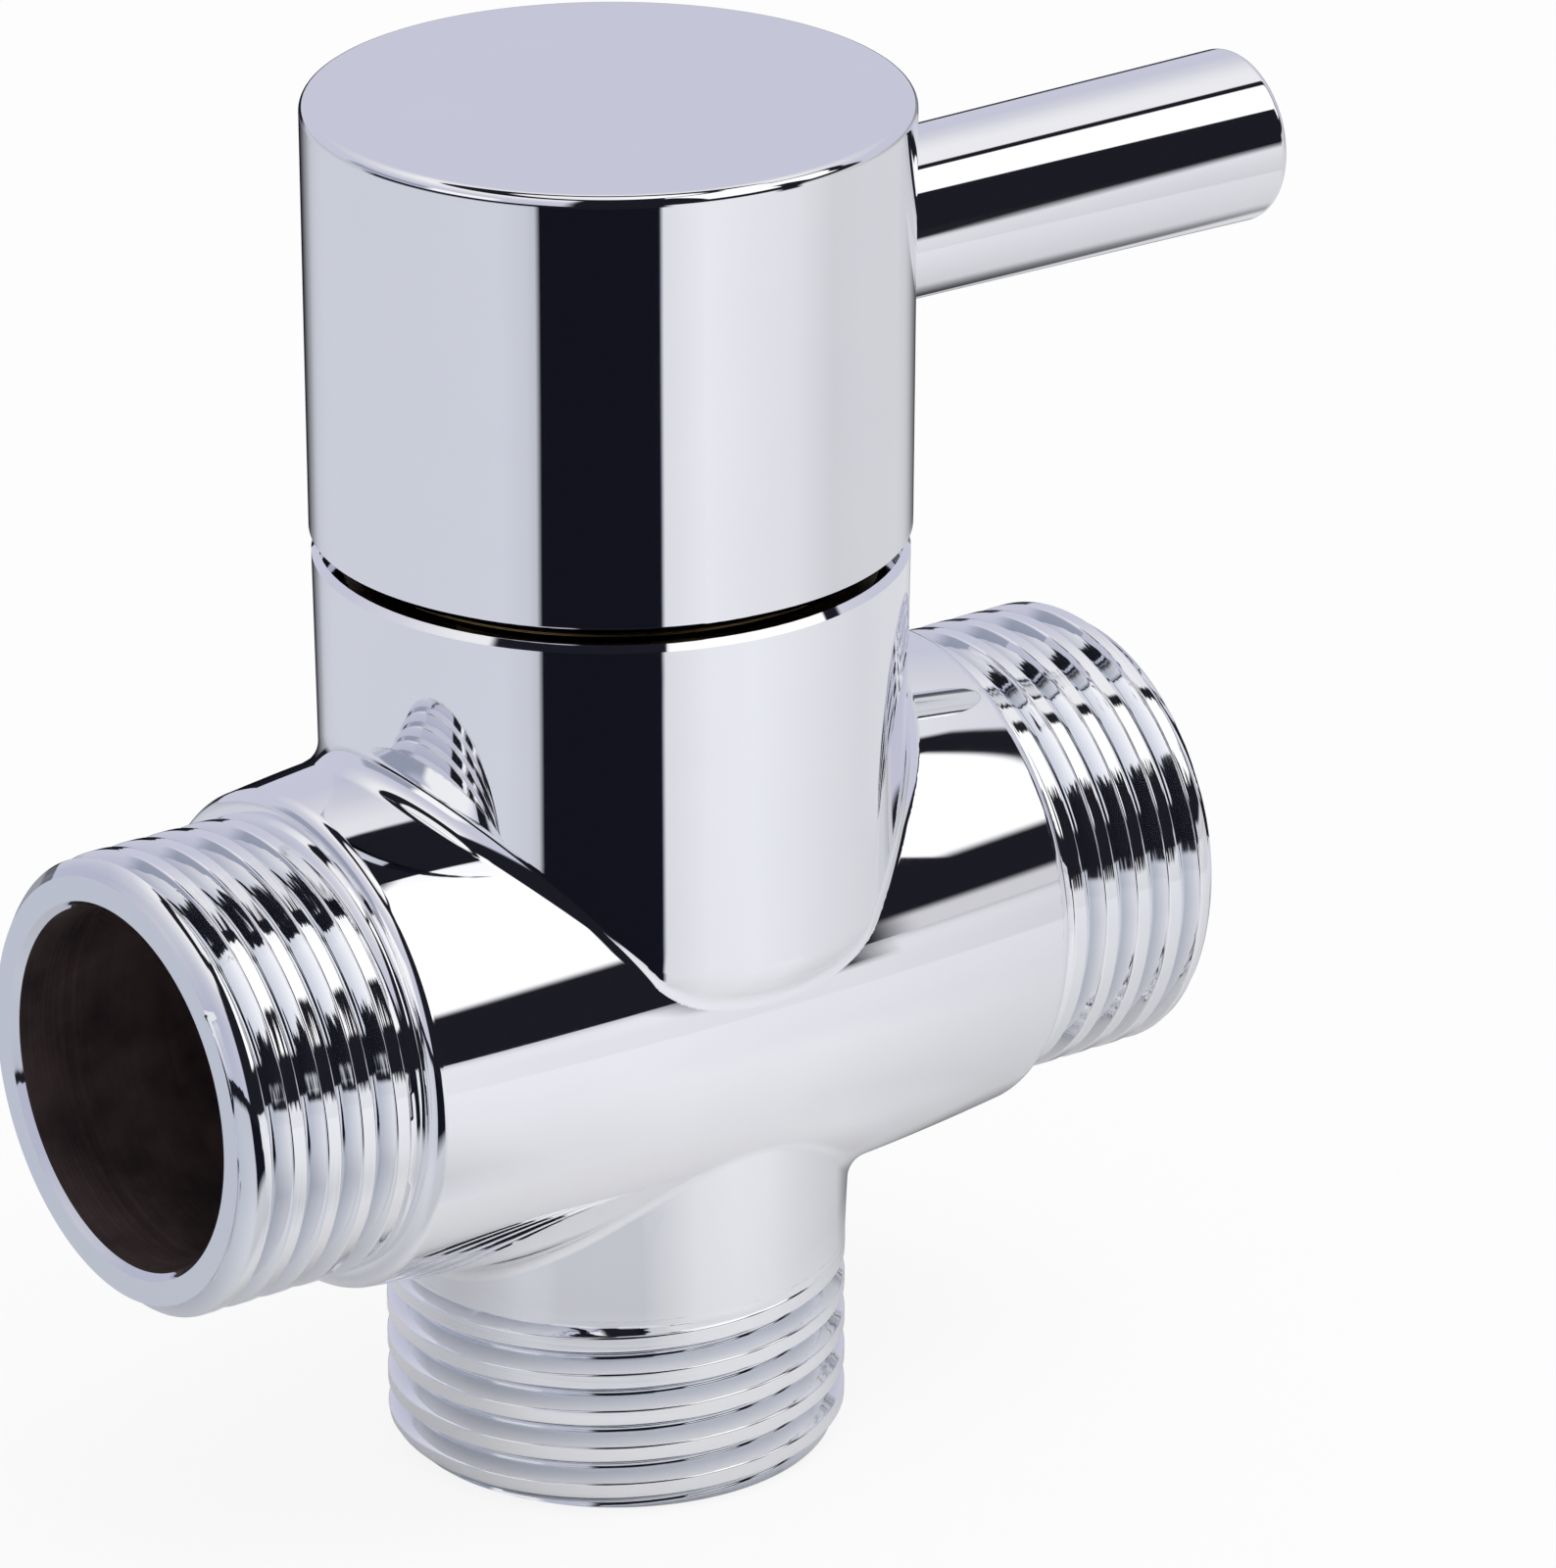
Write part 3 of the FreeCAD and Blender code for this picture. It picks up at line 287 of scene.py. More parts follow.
def bored_brass(name, axis):
    """Unplated bore wall, dark with oxide stains, with the rings that a boring tool leaves along
    its axis."""
    material, tree, shader = new_material(name)
    place = object_place(tree)
    split = tree.nodes.new("ShaderNodeSeparateXYZ")
    tree.links.new(place, split.inputs["Vector"])
    stain = tree.nodes.new("ShaderNodeTexNoise")
    stain.inputs["Scale"].default_value = 260.0
    stain.inputs["Detail"].default_value = 5.0
    tree.links.new(place, stain.inputs["Vector"])
    tone = tree.nodes.new("ShaderNodeValToRGB")
    tone.color_ramp.elements[0].position = 0.3
    tone.color_ramp.elements[0].color = (0.115, 0.090, 0.098, 1)
    tone.color_ramp.elements[1].position = 0.75
    tone.color_ramp.elements[1].color = (0.400, 0.295, 0.285, 1)
    tree.links.new(stain.outputs["Fac"], tone.inputs["Fac"])
    tree.links.new(tone.outputs["Color"], shader.inputs["Base Color"])
    rings = tree.nodes.new("ShaderNodeTexNoise")
    rings.noise_dimensions = "1D"
    rings.inputs["Scale"].default_value = 2400.0
    rings.inputs["Detail"].default_value = 3.0
    tree.links.new(split.outputs[axis], rings.inputs["W"])
    wear = tree.nodes.new("ShaderNodeMapRange")
    wear.inputs["To Min"].default_value = 0.28
    wear.inputs["To Max"].default_value = 0.55
    tree.links.new(rings.outputs["Fac"], wear.inputs["Value"])
    tree.links.new(wear.outputs["Result"], shader.inputs["Roughness"])
    add_bump(tree, shader, rings.outputs["Fac"], 0.25, 0.0001)
    shader.inputs["Metallic"].default_value = 0.85
    return material


body_chrome = chrome("chrome_body", gloss=0.015, haze=0.05, lines=0.0, wave=0.03, axis="Z")
side_bore = bored_brass("bored_side", "X")
bottom_bore = bored_brass("bored_bottom", "Z")

body_points, body_triangles = joined("valve_body")
body_mesh = bpy.data.meshes.new("valve_casting")
body_mesh.from_pydata(body_points.tolist(), [], body_triangles.tolist())
work = bmesh.new()
work.from_mesh(body_mesh)
cut_planes = [
    ((collar_cut * mm, 0, 0), (1, 0, 0)),
    ((-collar_cut * mm, 0, 0), (-1, 0, 0)),
    ((0, 0, neck_cut * mm), (0, 0, -1)),
]
for place, outward in cut_planes:
    everything = work.verts[:] + work.edges[:] + work.faces[:]
    bmesh.ops.bisect_plane(
        work, geom=everything, dist=1e-6, plane_co=place, plane_no=outward, clear_outer=True
    )
    rim = [edge for edge in work.edges if edge.is_boundary]
    bmesh.ops.bridge_loops(work, edges=rim)
work.to_mesh(body_mesh)

# The fillet's few long triangles are divided, and the new points are laid on the rolling ball.
touching, clear_of, nearly_on = 0.012, 0.004, -0.02
work.verts.index_update()
beside = beside_fillet(mesh_places(body_mesh), nearly_on)
long_edges = [edge for edge in work.edges if beside[[point.index for point in edge.verts]].all()]
bmesh.ops.subdivide_edges(work, edges=long_edges, cuts=3, use_grid_fill=True)
bmesh.ops.triangulate(work, faces=[face for face in work.faces if len(face.verts) > 3])
work.to_mesh(body_mesh)
work.free()
places = mesh_places(body_mesh)
rolled_on = np.flatnonzero(beside_fillet(places, clear_of))
outwards = upright_gap(places[rolled_on])[1] + barrel_gap(places[rolled_on])[1]
outwards /= np.linalg.norm(outwards, axis=1, keepdims=True)
centre, outwards, settled = fillet_balls(places[rolled_on], outwards)
places[rolled_on[settled]] = (centre - crossing_fillet * outwards)[settled]
body_mesh.vertices.foreach_set("co", (places * mm).astype(np.float32).ravel())

# Corners on a turned form or on the fillet take its exact normal where it agrees with the facets'.
sharp_corner = math.radians(32)
least_agreement = 0.93
body_mesh.shade_smooth()
body_mesh.set_sharp_from_angle(angle=sharp_corner)
corner_normals = np.empty(len(body_mesh.loops) * 3, np.float32)
body_mesh.corner_normals.foreach_get("vector", corner_normals)
corner_normals = corner_normals.reshape(-1, 3)
corner_index = np.empty(len(body_mesh.loops), np.int32)
body_mesh.loops.foreach_get("vertex_index", corner_index)
corner_points = places[corner_index]
upright_off, barrel_off = upright_gap(corner_points)[0], barrel_gap(corner_points)[0]
on_turned = corner_points[:, 2] < drum_rim[1] - 0.01
exact = corner_normals.copy()
on_upright = on_turned & (np.abs(upright_off) < touching)
exact[on_upright] = upright_normals(corner_points[on_upright])
on_barrel = on_turned & (np.abs(barrel_off) < touching)
exact[on_barrel] = barrel_gap(corner_points[on_barrel])[1]
on_fillet = np.flatnonzero(on_turned & (upright_off > clear_of) & (barrel_off > clear_of))
outwards, settled = fillet_balls(corner_points[on_fillet], corner_normals[on_fillet].astype(float))[1:]
exact[on_fillet[settled]] = outwards[settled]
agree = np.einsum("ij,ij->i", exact, corner_normals) > least_agreement
corner_normals[agree] = exact[agree]
body_mesh.normals_split_custom_set(corner_normals.tolist())

plated, in_side_bore, in_bottom_bore = 0, 1, 2
bottom_bore_top, plated_depth = 14, 0.6
face_places = face_middles(body_mesh)
skin_gap = np.minimum(upright_gap(face_places)[0], barrel_gap(face_places)[0])
inside = (skin_gap < -plated_depth) & (face_places[:, 2] < drum_rim[1])
bored = np.where(face_places[:, 2] < bottom_bore_top, in_bottom_bore, in_side_bore)
face_kind = np.where(inside, bored, plated)
body_mesh.polygons.foreach_set("material_index", face_kind.astype(np.int32))

valve_casting = new_piece(
    "valve_casting", body_mesh, "valve", [body_chrome, side_bore, bottom_bore]
)
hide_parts("valve_body")

# Port threads
# Three male half-inch pipe threads of 14 turns to the inch, cut in the brass and plated with it.
# The crests are turned flat, flanks stand at 55 degrees, and the first turn is chamfered.

pitch = 1.814
crest_radius = 10.4775
crest_half = 0.34
flank_slope = math.tan(math.radians(62.5))
lead_in = 0.75
bore_radius = 8.3
bore_mouth = 0.3
end_ring_row = 8.95


def rounded_profile(corners, steps):
    """A line through corners given as radius, place and rounding: a rounding is an arc that leaves
    both sides at a tangent, with a support point on each side just before the arc."""
    support = 0.05
    line = []
    for k, (across, along, rounding) in enumerate(corners):
        here = np.array([across, along], float)
        if rounding == 0:
            line.append(here[None])
            continue
        into = here - np.array(corners[k - 1][:2])
        out = np.array(corners[k + 1][:2]) - here
        into, out = into / np.linalg.norm(into), out / np.linalg.norm(out)
        bend = math.atan2(into[0] * out[1] - into[1] * out[0], into @ out)
        setback = rounding * math.tan(abs(bend) / 2)
        normal = np.sign(bend) * np.array([-into[1], into[0]])
        centre = here - setback * into + rounding * normal
        swing = np.linspace(0, abs(bend), steps)[:, None]
        arc = centre + rounding * (np.sin(swing) * into - np.cos(swing) * normal)
        line.append(np.vstack([arc[:1] - support * into, arc, arc[-1:] + support * out]))
    return np.vstack(line)


thread_section = rounded_profile([
    (0, 0, 0), (0, crest_half, 0.1), ((pitch / 2 - crest_half) * flank_slope, pitch / 2, 0.2),
    (0, pitch - crest_half, 0.1), (0, pitch, 0),
], 6)


def smooth_step(value, start, stop):
    """Rises from 0 at start to 1 at stop, level at both ends."""
    share = np.clip((value - start) / (stop - start), 0, 1)
    return share * share * (3 - 2 * share)


def thread_radius(inward, turns, length, end_radius, run_out):
    """Radius of the thread: the crest, which passes to the radius of what follows over the last
    millimetre, less the groove, which runs out there and doesn't bite into the end ring; the lead-in's
    cone is a rounded upper limit."""
    drop = np.interp(turns % 1 * pitch, thread_section[:, 1], thread_section[:, 0])
    drop = np.minimum(drop, lead_in + inward)
    crest = crest_radius + (end_radius - crest_radius) * smooth_step(inward, length - 1.2, length - 0.2)
    cut = crest - drop * (1 - smooth_step(inward, length - 0.1 - run_out, length - 0.1))
    cone = crest_radius - lead_in + inward
    lip = 0.12
    return (cut + cone - np.sqrt((cut - cone) ** 2 + lip ** 2)) / 2


def grid_mesh(name, grid, wrap_rows):
    """A mesh from a grid of points in mm, rows by columns: points that coincide, as at the seam and the
    poles, are made one, faces that shrink to a line are left out, and the skin is turned outwards."""
    steps_per_mm = 2e5
    sharp_edge = math.radians(38)
    flat = grid.reshape(-1, 3)
    keys = np.round(flat * steps_per_mm).astype(np.int64)
    first, index = np.unique(keys, axis=0, return_index=True, return_inverse=True)[1:]
    index = index.reshape(grid.shape[:2])
    low, high = (index, np.roll(index, -1, 0)) if wrap_rows else (index[:-1], index[1:])
    quads = np.stack([low[:, :-1], low[:, 1:], high[:, 1:], high[:, :-1]], -1).reshape(-1, 4)
    apart = quads != np.roll(quads, -1, 1)
    whole = quads[apart.all(1)]
    thin = apart.sum(1) == 3
    triangles = quads[thin][apart[thin]].reshape(-1, 3)
    points = flat[first]
    a, b, c, d = (points[whole[:, k]] for k in range(4))
    volume = np.einsum("ij,ij->", a, np.cross(b, c)) + np.einsum("ij,ij->", a, np.cross(c, d))
    if volume < 0:
        whole, triangles = whole[:, ::-1], triangles[:, ::-1]
    mesh = bpy.data.meshes.new(name)
    mesh.from_pydata((points * mm).tolist(), [], whole.tolist() + triangles.tolist())
    mesh.shade_smooth()
    mesh.set_sharp_from_angle(angle=sharp_edge)
    return mesh


def threaded_spigot(end, outward, side, length, end_radius, run_out, closing):
    """A closed tube about the outward axis: its outer rows follow the right-hand helix, so that each
    row keeps one place on the thread's section; bore wall, bore mouth and end ring come before them, and
    the rows that lead on to the body after them."""
    segments = 180
    end, outward, side = np.array(end), np.array(outward), np.array(side)
    angle = np.linspace(0, 2 * np.pi, segments + 1)
    steps = (np.arange(int(length / pitch) + 3)[:, None] + thread_section[:-1, 1] / pitch).reshape(-1, 1)
    inward = np.clip((steps - angle / (2 * np.pi)) * pitch, 0, length)
    outer = thread_radius(inward, inward / pitch + angle / (2 * np.pi), length, end_radius, run_out)
    inner = np.array([
        (closing[-1][0], bore_radius), (length / 2, bore_radius), (bore_mouth, bore_radius),
        (0, bore_radius + bore_mouth), (0, end_ring_row),
    ])
    closing = np.array(closing)
    depth = np.vstack([inner[:, :1] + 0 * angle, inward, closing[:, :1] + 0 * angle])
    radius = np.vstack([inner[:, 1:] + 0 * angle, outer, closing[:, 1:] + 0 * angle])
    turn = np.cos(angle)[:, None] * side + np.sin(angle)[:, None] * np.cross(outward, side)
    return end - depth[..., None] * outward + radius[..., None] * turn


port_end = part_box("valve_body")[1].x / mm
side_length = 9.2
shoulder_run = port_end - collar_cut - side_length
cut_radius = collar_radius + belly_rise * (1 - collar_cut / collar_edge)
swing = np.radians(np.linspace(8, 90, 10))
shoulder = np.column_stack([
    port_end - collar_cut - shoulder_run * np.cos(swing),
    crest_radius + (cut_radius - crest_radius) * np.sin(swing),
])
neck_cut_radius = np.interp(neck_cut, (neck_foot[1], neck_top[1]), (neck_foot[0], neck_top[0]))
neck_join = np.array([(neck_cut, neck_cut_radius)])
side_fit = (side_length, crest_radius, 1.0, shoulder)
bottom_fit = (neck_cut - 0.2, neck_cut_radius, 0.4, neck_join)
spigots = {
    "inlet_thread": ((-port_end, 0, port_height), (-1, 0, 0), (0, 1, 0), side_fit, "X"),
    "outlet_thread": ((port_end, 0, port_height), (1, 0, 0), (0, 1, 0), side_fit, "X"),
    "bottom_thread": ((0, 0, 0), (0, 0, -1), (1, 0, 0), bottom_fit, "Z"),
}


def grooved_chrome(name, axis):
    """Thread plating: chrome whose colour is darkened down the groove, a painted shade for the groove's
    recess.
    """
    material = chrome(name, gloss=0.03, haze=0.06, lines=0.5, wave=0.03, axis=axis)
    tree = material.node_tree
    shader = tree.nodes["Principled BSDF"]
    depth = tree.nodes.new("ShaderNodeAttribute")
    depth.attribute_name = "groove"
    # Painted shade: the groove attribute darkens the base colour toward a grey-blue down the groove.
    painted_groove_shade = tree.nodes.new("ShaderNodeMix")
    painted_groove_shade.data_type = "RGBA"
    painted_groove_shade.inputs["B"].default_value = (0.74, 0.76, 0.81, 1)
    tree.links.new(depth.outputs["Fac"], painted_groove_shade.inputs["Factor"])
    tree.links.new(shader.inputs["Base Color"].links[0].from_socket, painted_groove_shade.inputs["A"])
    tree.links.new(painted_groove_shade.outputs["Result"], shader.inputs["Base Color"])
    return material


thread_chrome = {axis: grooved_chrome("chrome_thread_" + axis.lower(), axis) for axis in "XZ"}
# Depths below the crest, in mm, where the painted shade of the groove starts and where it is full.
shade_starts, shade_full = 0.1, 0.5
for name, (end, outward, side, fit, axis) in spigots.items():
    thread_mesh = grid_mesh(name, threaded_spigot(end, outward, side, *fit), True)
    from_axis = np.linalg.norm(np.cross(face_middles(thread_mesh) - end, outward), axis=1)
    in_bore = from_axis < bore_radius + 0.05
    thread_mesh.polygons.foreach_set("material_index", in_bore.astype(np.int32))
    reach = np.linalg.norm(np.cross(mesh_places(thread_mesh) - end, outward), axis=1)
    # Weight of the groove's painted shade, growing with the depth below the crest.
    shade_weight = smooth_step(crest_radius - reach, shade_starts, shade_full)
    groove = thread_mesh.attributes.new("groove", "FLOAT", "POINT")
    groove.data.foreach_set("value", shade_weight.astype(np.float32))
    bore = side_bore if axis == "X" else bottom_bore
    new_piece(name, thread_mesh, "valve", [thread_chrome[axis], bore])

# Cartridge foot and housing
# The two halves of the ceramic cartridge, moulded in glass-filled plastic with a dull skin.
# The foot carries the seals and the fixed disc; the housing drops over it and holds the spindle.


def finish_nodes(material, *names):
    """The CAD nodes of these names take the material as their only one."""
    for name in names:
        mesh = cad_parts[name].data
        mesh.materials.clear()
        mesh.materials.append(material)


def mottled(name, dark, pale, grain, smooth, dull, bump, metal=0.0):
    """A material whose colour and roughness both follow one noise: dark to pale, smooth to dull."""
    material, tree, shader = new_material(name)
    noise = tree.nodes.new("ShaderNodeTexNoise")
    noise.inputs["Scale"].default_value = grain
    noise.inputs["Detail"].default_value = 5.0
    tree.links.new(object_place(tree), noise.inputs["Vector"])
    tone = tree.nodes.new("ShaderNodeValToRGB")
    tone.color_ramp.elements[0].position = 0.3
    tone.color_ramp.elements[0].color = (*dark, 1)
    tone.color_ramp.elements[1].position = 0.7
    tone.color_ramp.elements[1].color = (*pale, 1)
    tree.links.new(noise.outputs["Fac"], tone.inputs["Fac"])
    tree.links.new(tone.outputs["Color"], shader.inputs["Base Color"])
    polish = tree.nodes.new("ShaderNodeMapRange")
    polish.inputs["To Min"].default_value = smooth
    polish.inputs["To Max"].default_value = dull
    tree.links.new(noise.outputs["Fac"], polish.inputs["Value"])
    tree.links.new(polish.outputs["Result"], shader.inputs["Roughness"])
    add_bump(tree, shader, noise.outputs["Fac"], bump, 0.0002)
    shader.inputs["Metallic"].default_value = metal
    return material


moulded_plastic = mottled(
    "moulded_plastic", dark=(0.50, 0.49, 0.46), pale=(0.60, 0.59, 0.55), grain=900.0,
    smooth=0.38, dull=0.55, bump=0.1,
)
finish_nodes(moulded_plastic, "cartridge_base", "cartridge_housing")

# Seals
# Moulded silicone seat seals under the cartridge and black rubber rings round the spindle and housing.
# They lie pressed in their grooves, with the slightly greasy sheen of assembly grease.

greased_rubber = mottled(
    "greased_rubber", dark=(0.012, 0.012, 0.013), pale=(0.030, 0.030, 0.032), grain=700.0,
    smooth=0.32, dull=0.6, bump=0.1,
)
finish_nodes(
    greased_rubber, "lower_seat_seal", "upper_seat_seal", "housing_oring",
    "spindle_oring_lower", "spindle_oring_upper",
)

# Ceramic discs
# A fixed and a turning disc of sintered alumina, lapped flat against each other.
# The turning one uncovers the kidney-shaped ways of the fixed one.

lapped_ceramic = mottled(
    "lapped_ceramic", dark=(0.74, 0.73, 0.70), pale=(0.82, 0.81, 0.78), grain=1500.0,
    smooth=0.10, dull=0.24, bump=0.03,
)
finish_nodes(lapped_ceramic, "fixed_disc", "moving_disc")

# Disc driver and glide washer
# Acetal parts that slide: the driver's dogs turn the upper disc, the washer bears under the housing.
# Both are a grey-blue moulding with a soft waxy gloss.

waxy_acetal = mottled(
    "waxy_acetal", dark=(0.12, 0.16, 0.22), pale=(0.16, 0.21, 0.28), grain=800.0,
    smooth=0.30, dull=0.45, bump=0.06,
)
finish_nodes(waxy_acetal, "disc_driver", "glide_washer")

# Spindle and gland nut
# Turned brass bar, left unplated and dulled by oxide: the nut clamps the cartridge in the drum and the
# spindle's splined head carries the handle.

turned_brass = mottled(
    "turned_brass", dark=(0.25, 0.17, 0.07), pale=(0.36, 0.25, 0.11), grain=420.0,
    smooth=0.22, dull=0.42, bump=0.05, metal=1.0,
)
finish_nodes(turned_brass, "spindle", "gland_nut")

# Retaining clip
# An open ring of spring steel, blanked and tumbled, snapped into the spindle's groove.
# It bears on the housing's end and keeps the spindle from being pushed out.

spring_steel = mottled(
    "spring_steel", dark=(0.30, 0.31, 0.33), pale=(0.42, 0.43, 0.45), grain=600.0,
    smooth=0.25, dull=0.42, bump=0.05, metal=1.0,
)
finish_nodes(spring_steel, "retaining_clip")

# Handle knob
# A deep cup turned and plated like the body, that caps the drum and hides the gland nut.
# Its hub is pressed on the spindle's splines; a 0.6 mm seam is left above the drum's rim.

knob_low, knob_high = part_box("handle_knob")
knob_foot = round(knob_low.z / mm, 3)
knob_height = round(knob_high.z / mm, 3) - knob_foot
top_radius, foot_radius, foot_chamfer = 13.59, 13.45, 0.3
cup_radius, cup_depth, cup_round = 11.25, 17.09, 0.8
hub_radius, hub_foot, socket_radius, socket_top = 6.0, 7.19, 3.87, 14.4
knob_corners = [
    (0, knob_height, 0), (top_radius, knob_height, 0.5), (foot_radius, foot_chamfer, 0),
    (foot_radius - foot_chamfer, 0, 0), (cup_radius, 0, 0), (cup_radius, cup_depth, cup_round),
    (hub_radius, cup_depth, cup_round), (hub_radius, hub_foot, 0.3), (socket_radius, hub_foot, 0),
    (socket_radius, socket_top, 0), (0, socket_top, 0),
]


def turned_form(profile, base, axis, side, segments):
    """A turned piece: the profile's radius swung round the axis through the base, its second value
    measured along the axis."""
    base, axis, side = np.array(base), np.array(axis), np.array(side)
    angle = np.linspace(0, 2 * np.pi, segments + 1)
    turn = np.cos(angle)[:, None] * side + np.sin(angle)[:, None] * np.cross(axis, side)
    return base + profile[:, 1, None, None] * axis + profile[:, 0, None, None] * turn


handle_chrome = chrome("chrome_handle", gloss=0.015, haze=0.05, lines=0.0, wave=0.02, axis="Z")
knob_form = turned_form(rounded_profile(knob_corners, 10), (0, 0, knob_foot), (0, 0, 1), (1, 0, 0), 240)
knob_mesh = grid_mesh("knob_cup", knob_form, False)
knob = new_piece("knob_cup", knob_mesh, "handle", [handle_chrome])
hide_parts("handle_knob")

# Lever rod
# A plain turned rod that swells slightly to its free end, screwed by its stud into the side of
# the knob and bedded against the cup's wall.

lever_low, lever_high = (np.array(corner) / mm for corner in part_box("lever_rod"))
lever_axis = (lever_low[2] + lever_high[2]) / 2
lever_seat, seat_radius, stud_radius = 12.9, 3.8, 2.5
end_radius = (lever_high[2] - lever_low[2]) / 2 + 0.005
stud_tip, lever_end = lever_low[0] + 1, lever_high[0]
lever_corners = [
    (0, lever_end, 0), (end_radius, lever_end, 0.4), (seat_radius, lever_seat, 0),
    (stud_radius, lever_seat, 0), (stud_radius, stud_tip, 0), (0, stud_tip, 0),
]
lever_form = turned_form(rounded_profile(lever_corners, 10), (0, 0, lever_axis), (1, 0, 0), (0, 1, 0), 160)
lever_mesh = grid_mesh("lever", lever_form, False)
lever = new_piece("lever", lever_mesh, "handle", [handle_chrome])
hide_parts("lever_rod")

# Studio
# The valve stands on a pale table under even light. A sheet on the table, seen only in the chrome,
# carries painted reflections: black before and behind the valve, pale grey at its sides, darker grey
# beside its foot as painted shade. A large soft lamp hangs at the front right before a dark room.


def stage_piece(name, grid, material):
    """A sheet of the studio, not part of the valve."""
    sheet = bpy.data.objects.new(name, grid_mesh(name, grid, False))
    bpy.context.scene.collection.objects.link(sheet)
    sheet.data.materials.append(material)
    return sheet


def ring_sheet(radii, height):
    """A flat sheet of rings about the valve's axis, its radii and height in mm."""
    radius = np.array(radii, float)[:, None]
    angle = np.radians(np.linspace(0, 360, 721))
    return np.stack([radius * np.cos(angle), radius * np.sin(angle), height + 0 * radius * angle], -1)


table_tone, white_share = 0.86, 0.86
floor_material, floor_tree, floor_shader = new_material("table_top")
floor_shader.inputs["Base Color"].default_value = (table_tone, table_tone, 0.87, 1)
floor_shader.inputs["Roughness"].default_value = 0.9
floor_shader.inputs["Specular IOR Level"].default_value = 0.0
white = floor_tree.nodes.new("ShaderNodeEmission")
white.inputs["Color"].default_value = (1, 1, 1, 1)
part_white = floor_tree.nodes.new("ShaderNodeMath")
part_white.operation = "MULTIPLY"
part_white.inputs[1].default_value = white_share
seen = floor_tree.nodes.new("ShaderNodeLightPath")
blend = floor_tree.nodes.new("ShaderNodeMixShader")
floor_tree.links.new(seen.outputs["Is Camera Ray"], part_white.inputs[0])
floor_tree.links.new(part_white.outputs["Value"], blend.inputs["Fac"])
floor_tree.links.new(floor_shader.outputs["BSDF"], blend.inputs[1])
floor_tree.links.new(white.outputs["Emission"], blend.inputs[2])
floor_tree.links.new(blend.outputs["Shader"], floor_tree.nodes["Material Output"].inputs["Surface"])
stage_piece("table", ring_sheet([0, 200, 4000], -0.05), floor_material)

# Painted reflections: grey levels of the sheet by bearing, in degrees from the outlet's side round by the
# back, for rings at growing distance from the foot, set for what the neck, the lever, the drum, the knob
# and the rims reflect; the darker greys next to the foot are painted shade of the table beside the valve.
foot_tones = [
    (57, 0.60), (97, 0.62), (150, 0.68), (195, 0.70), (206, 0.66), (212, 0.62), (246, 0.62), (254, 0.70),
    (270, 0.83), (288, 0.87), (305, 0.85), (324, 0.76), (342, 0.70), (360, 0.66), (372, 0.40), (384, 0.25),
]
left_tones = [
    (57, 0.007), (70, 0.007), (76, 0.10), (81, 0.23), (86, 0.36), (89, 0.48), (93, 0.57), (97, 0.605),
    (104, 0.635), (112, 0.645), (195, 0.65), (205, 0.60), (208, 0.53), (210, 0.007), (252.5, 0.007),
]
near_tones = left_tones + [
    (254, 0.73), (270, 0.83), (288, 0.85), (305, 0.80), (324, 0.74), (342, 0.70), (360, 0.66), (366, 0.50),
    (372, 0.28), (380, 0.16), (388, 0.08), (400, 0.03), (414, 0.015),
]
drum_tones = left_tones + [
    (254, 0.73), (270, 0.83), (288, 0.85), (305, 0.80), (324, 0.74), (342, 0.70), (360, 0.72), (385, 0.72),
    (396, 0.62), (406, 0.35), (414, 0.15),
]
far_tones = left_tones + [
    (254, 0.74), (270, 0.83), (288, 0.78), (305, 0.75), (324, 0.64), (342, 0.66), (368, 0.66), (376, 0.62),
    (380, 0.56), (384, 0.47), (390, 0.28), (398, 0.10), (406, 0.03), (414, 0.015),
]
horizon_tones = [
    (57, 0.012), (84, 0.012), (92, 0.60), (134, 0.60), (142, 0.012), (254, 0.012), (258, 0.80), (296, 0.80),
    (300, 0.015), (306, 0.015), (309, 0.74), (330, 0.62), (384, 0.40), (406, 0.09), (414, 0.03),
]


def sheet_colours(radius, bearing):
    """Colours of the sheet, painted reflections for the chrome: the table's own at its inner edge, then
    grey levels by bearing, which pass with the distance from list to list, out to the horizon; bluer on the
    left."""
    tone = np.full(radius.shape, table_tone)
    bands = [
        (foot_tones, 20, 28), (near_tones, 48, 62), (drum_tones, 75, 82), (far_tones, 113, 118),
        (horizon_tones, 208, 300),
    ]
    for tones, start, stop in bands:
        stops, levels = np.array(tones).T
        share = np.clip((radius - start) / (stop - start), 0, 1)
        tone += share * (np.interp(bearing, stops, levels, period=360) - tone)
    blue = np.interp(bearing, (40, 97, 252, 255), (0.05, 0.135, 0.135, 0.05), period=360)
    blue *= np.interp(radius, (20, 60), (0.3, 1))
    return np.stack([tone, tone * (1 + blue / 4), tone * (1 + blue) + 0.005, np.ones_like(tone)], -1)


sheet_material, sheet_tree, sheet_shader = new_material("painted_reflection_sheet")
sheet_shader.inputs["Roughness"].default_value = 0.9
sheet_shader.inputs["Specular IOR Level"].default_value = 0.0
sheet_tone = sheet_tree.nodes.new("ShaderNodeAttribute")
sheet_tone.attribute_name = "tone"
sheet_tree.links.new(sheet_tone.outputs["Color"], sheet_shader.inputs["Base Color"])
sheet_radii = [20, 28, 40, 48, 55, 62, 75, 82, 95, 113, 118, 150, 180, 208, 230, 260, 300, 800, 4000]
sheet = stage_piece("painted_reflection_sheet", ring_sheet(sheet_radii, 0.15), sheet_material)
across, along = mesh_places(sheet.data)[:, :2].T
sheet_paint = sheet.data.attributes.new("tone", "FLOAT_COLOR", "POINT")
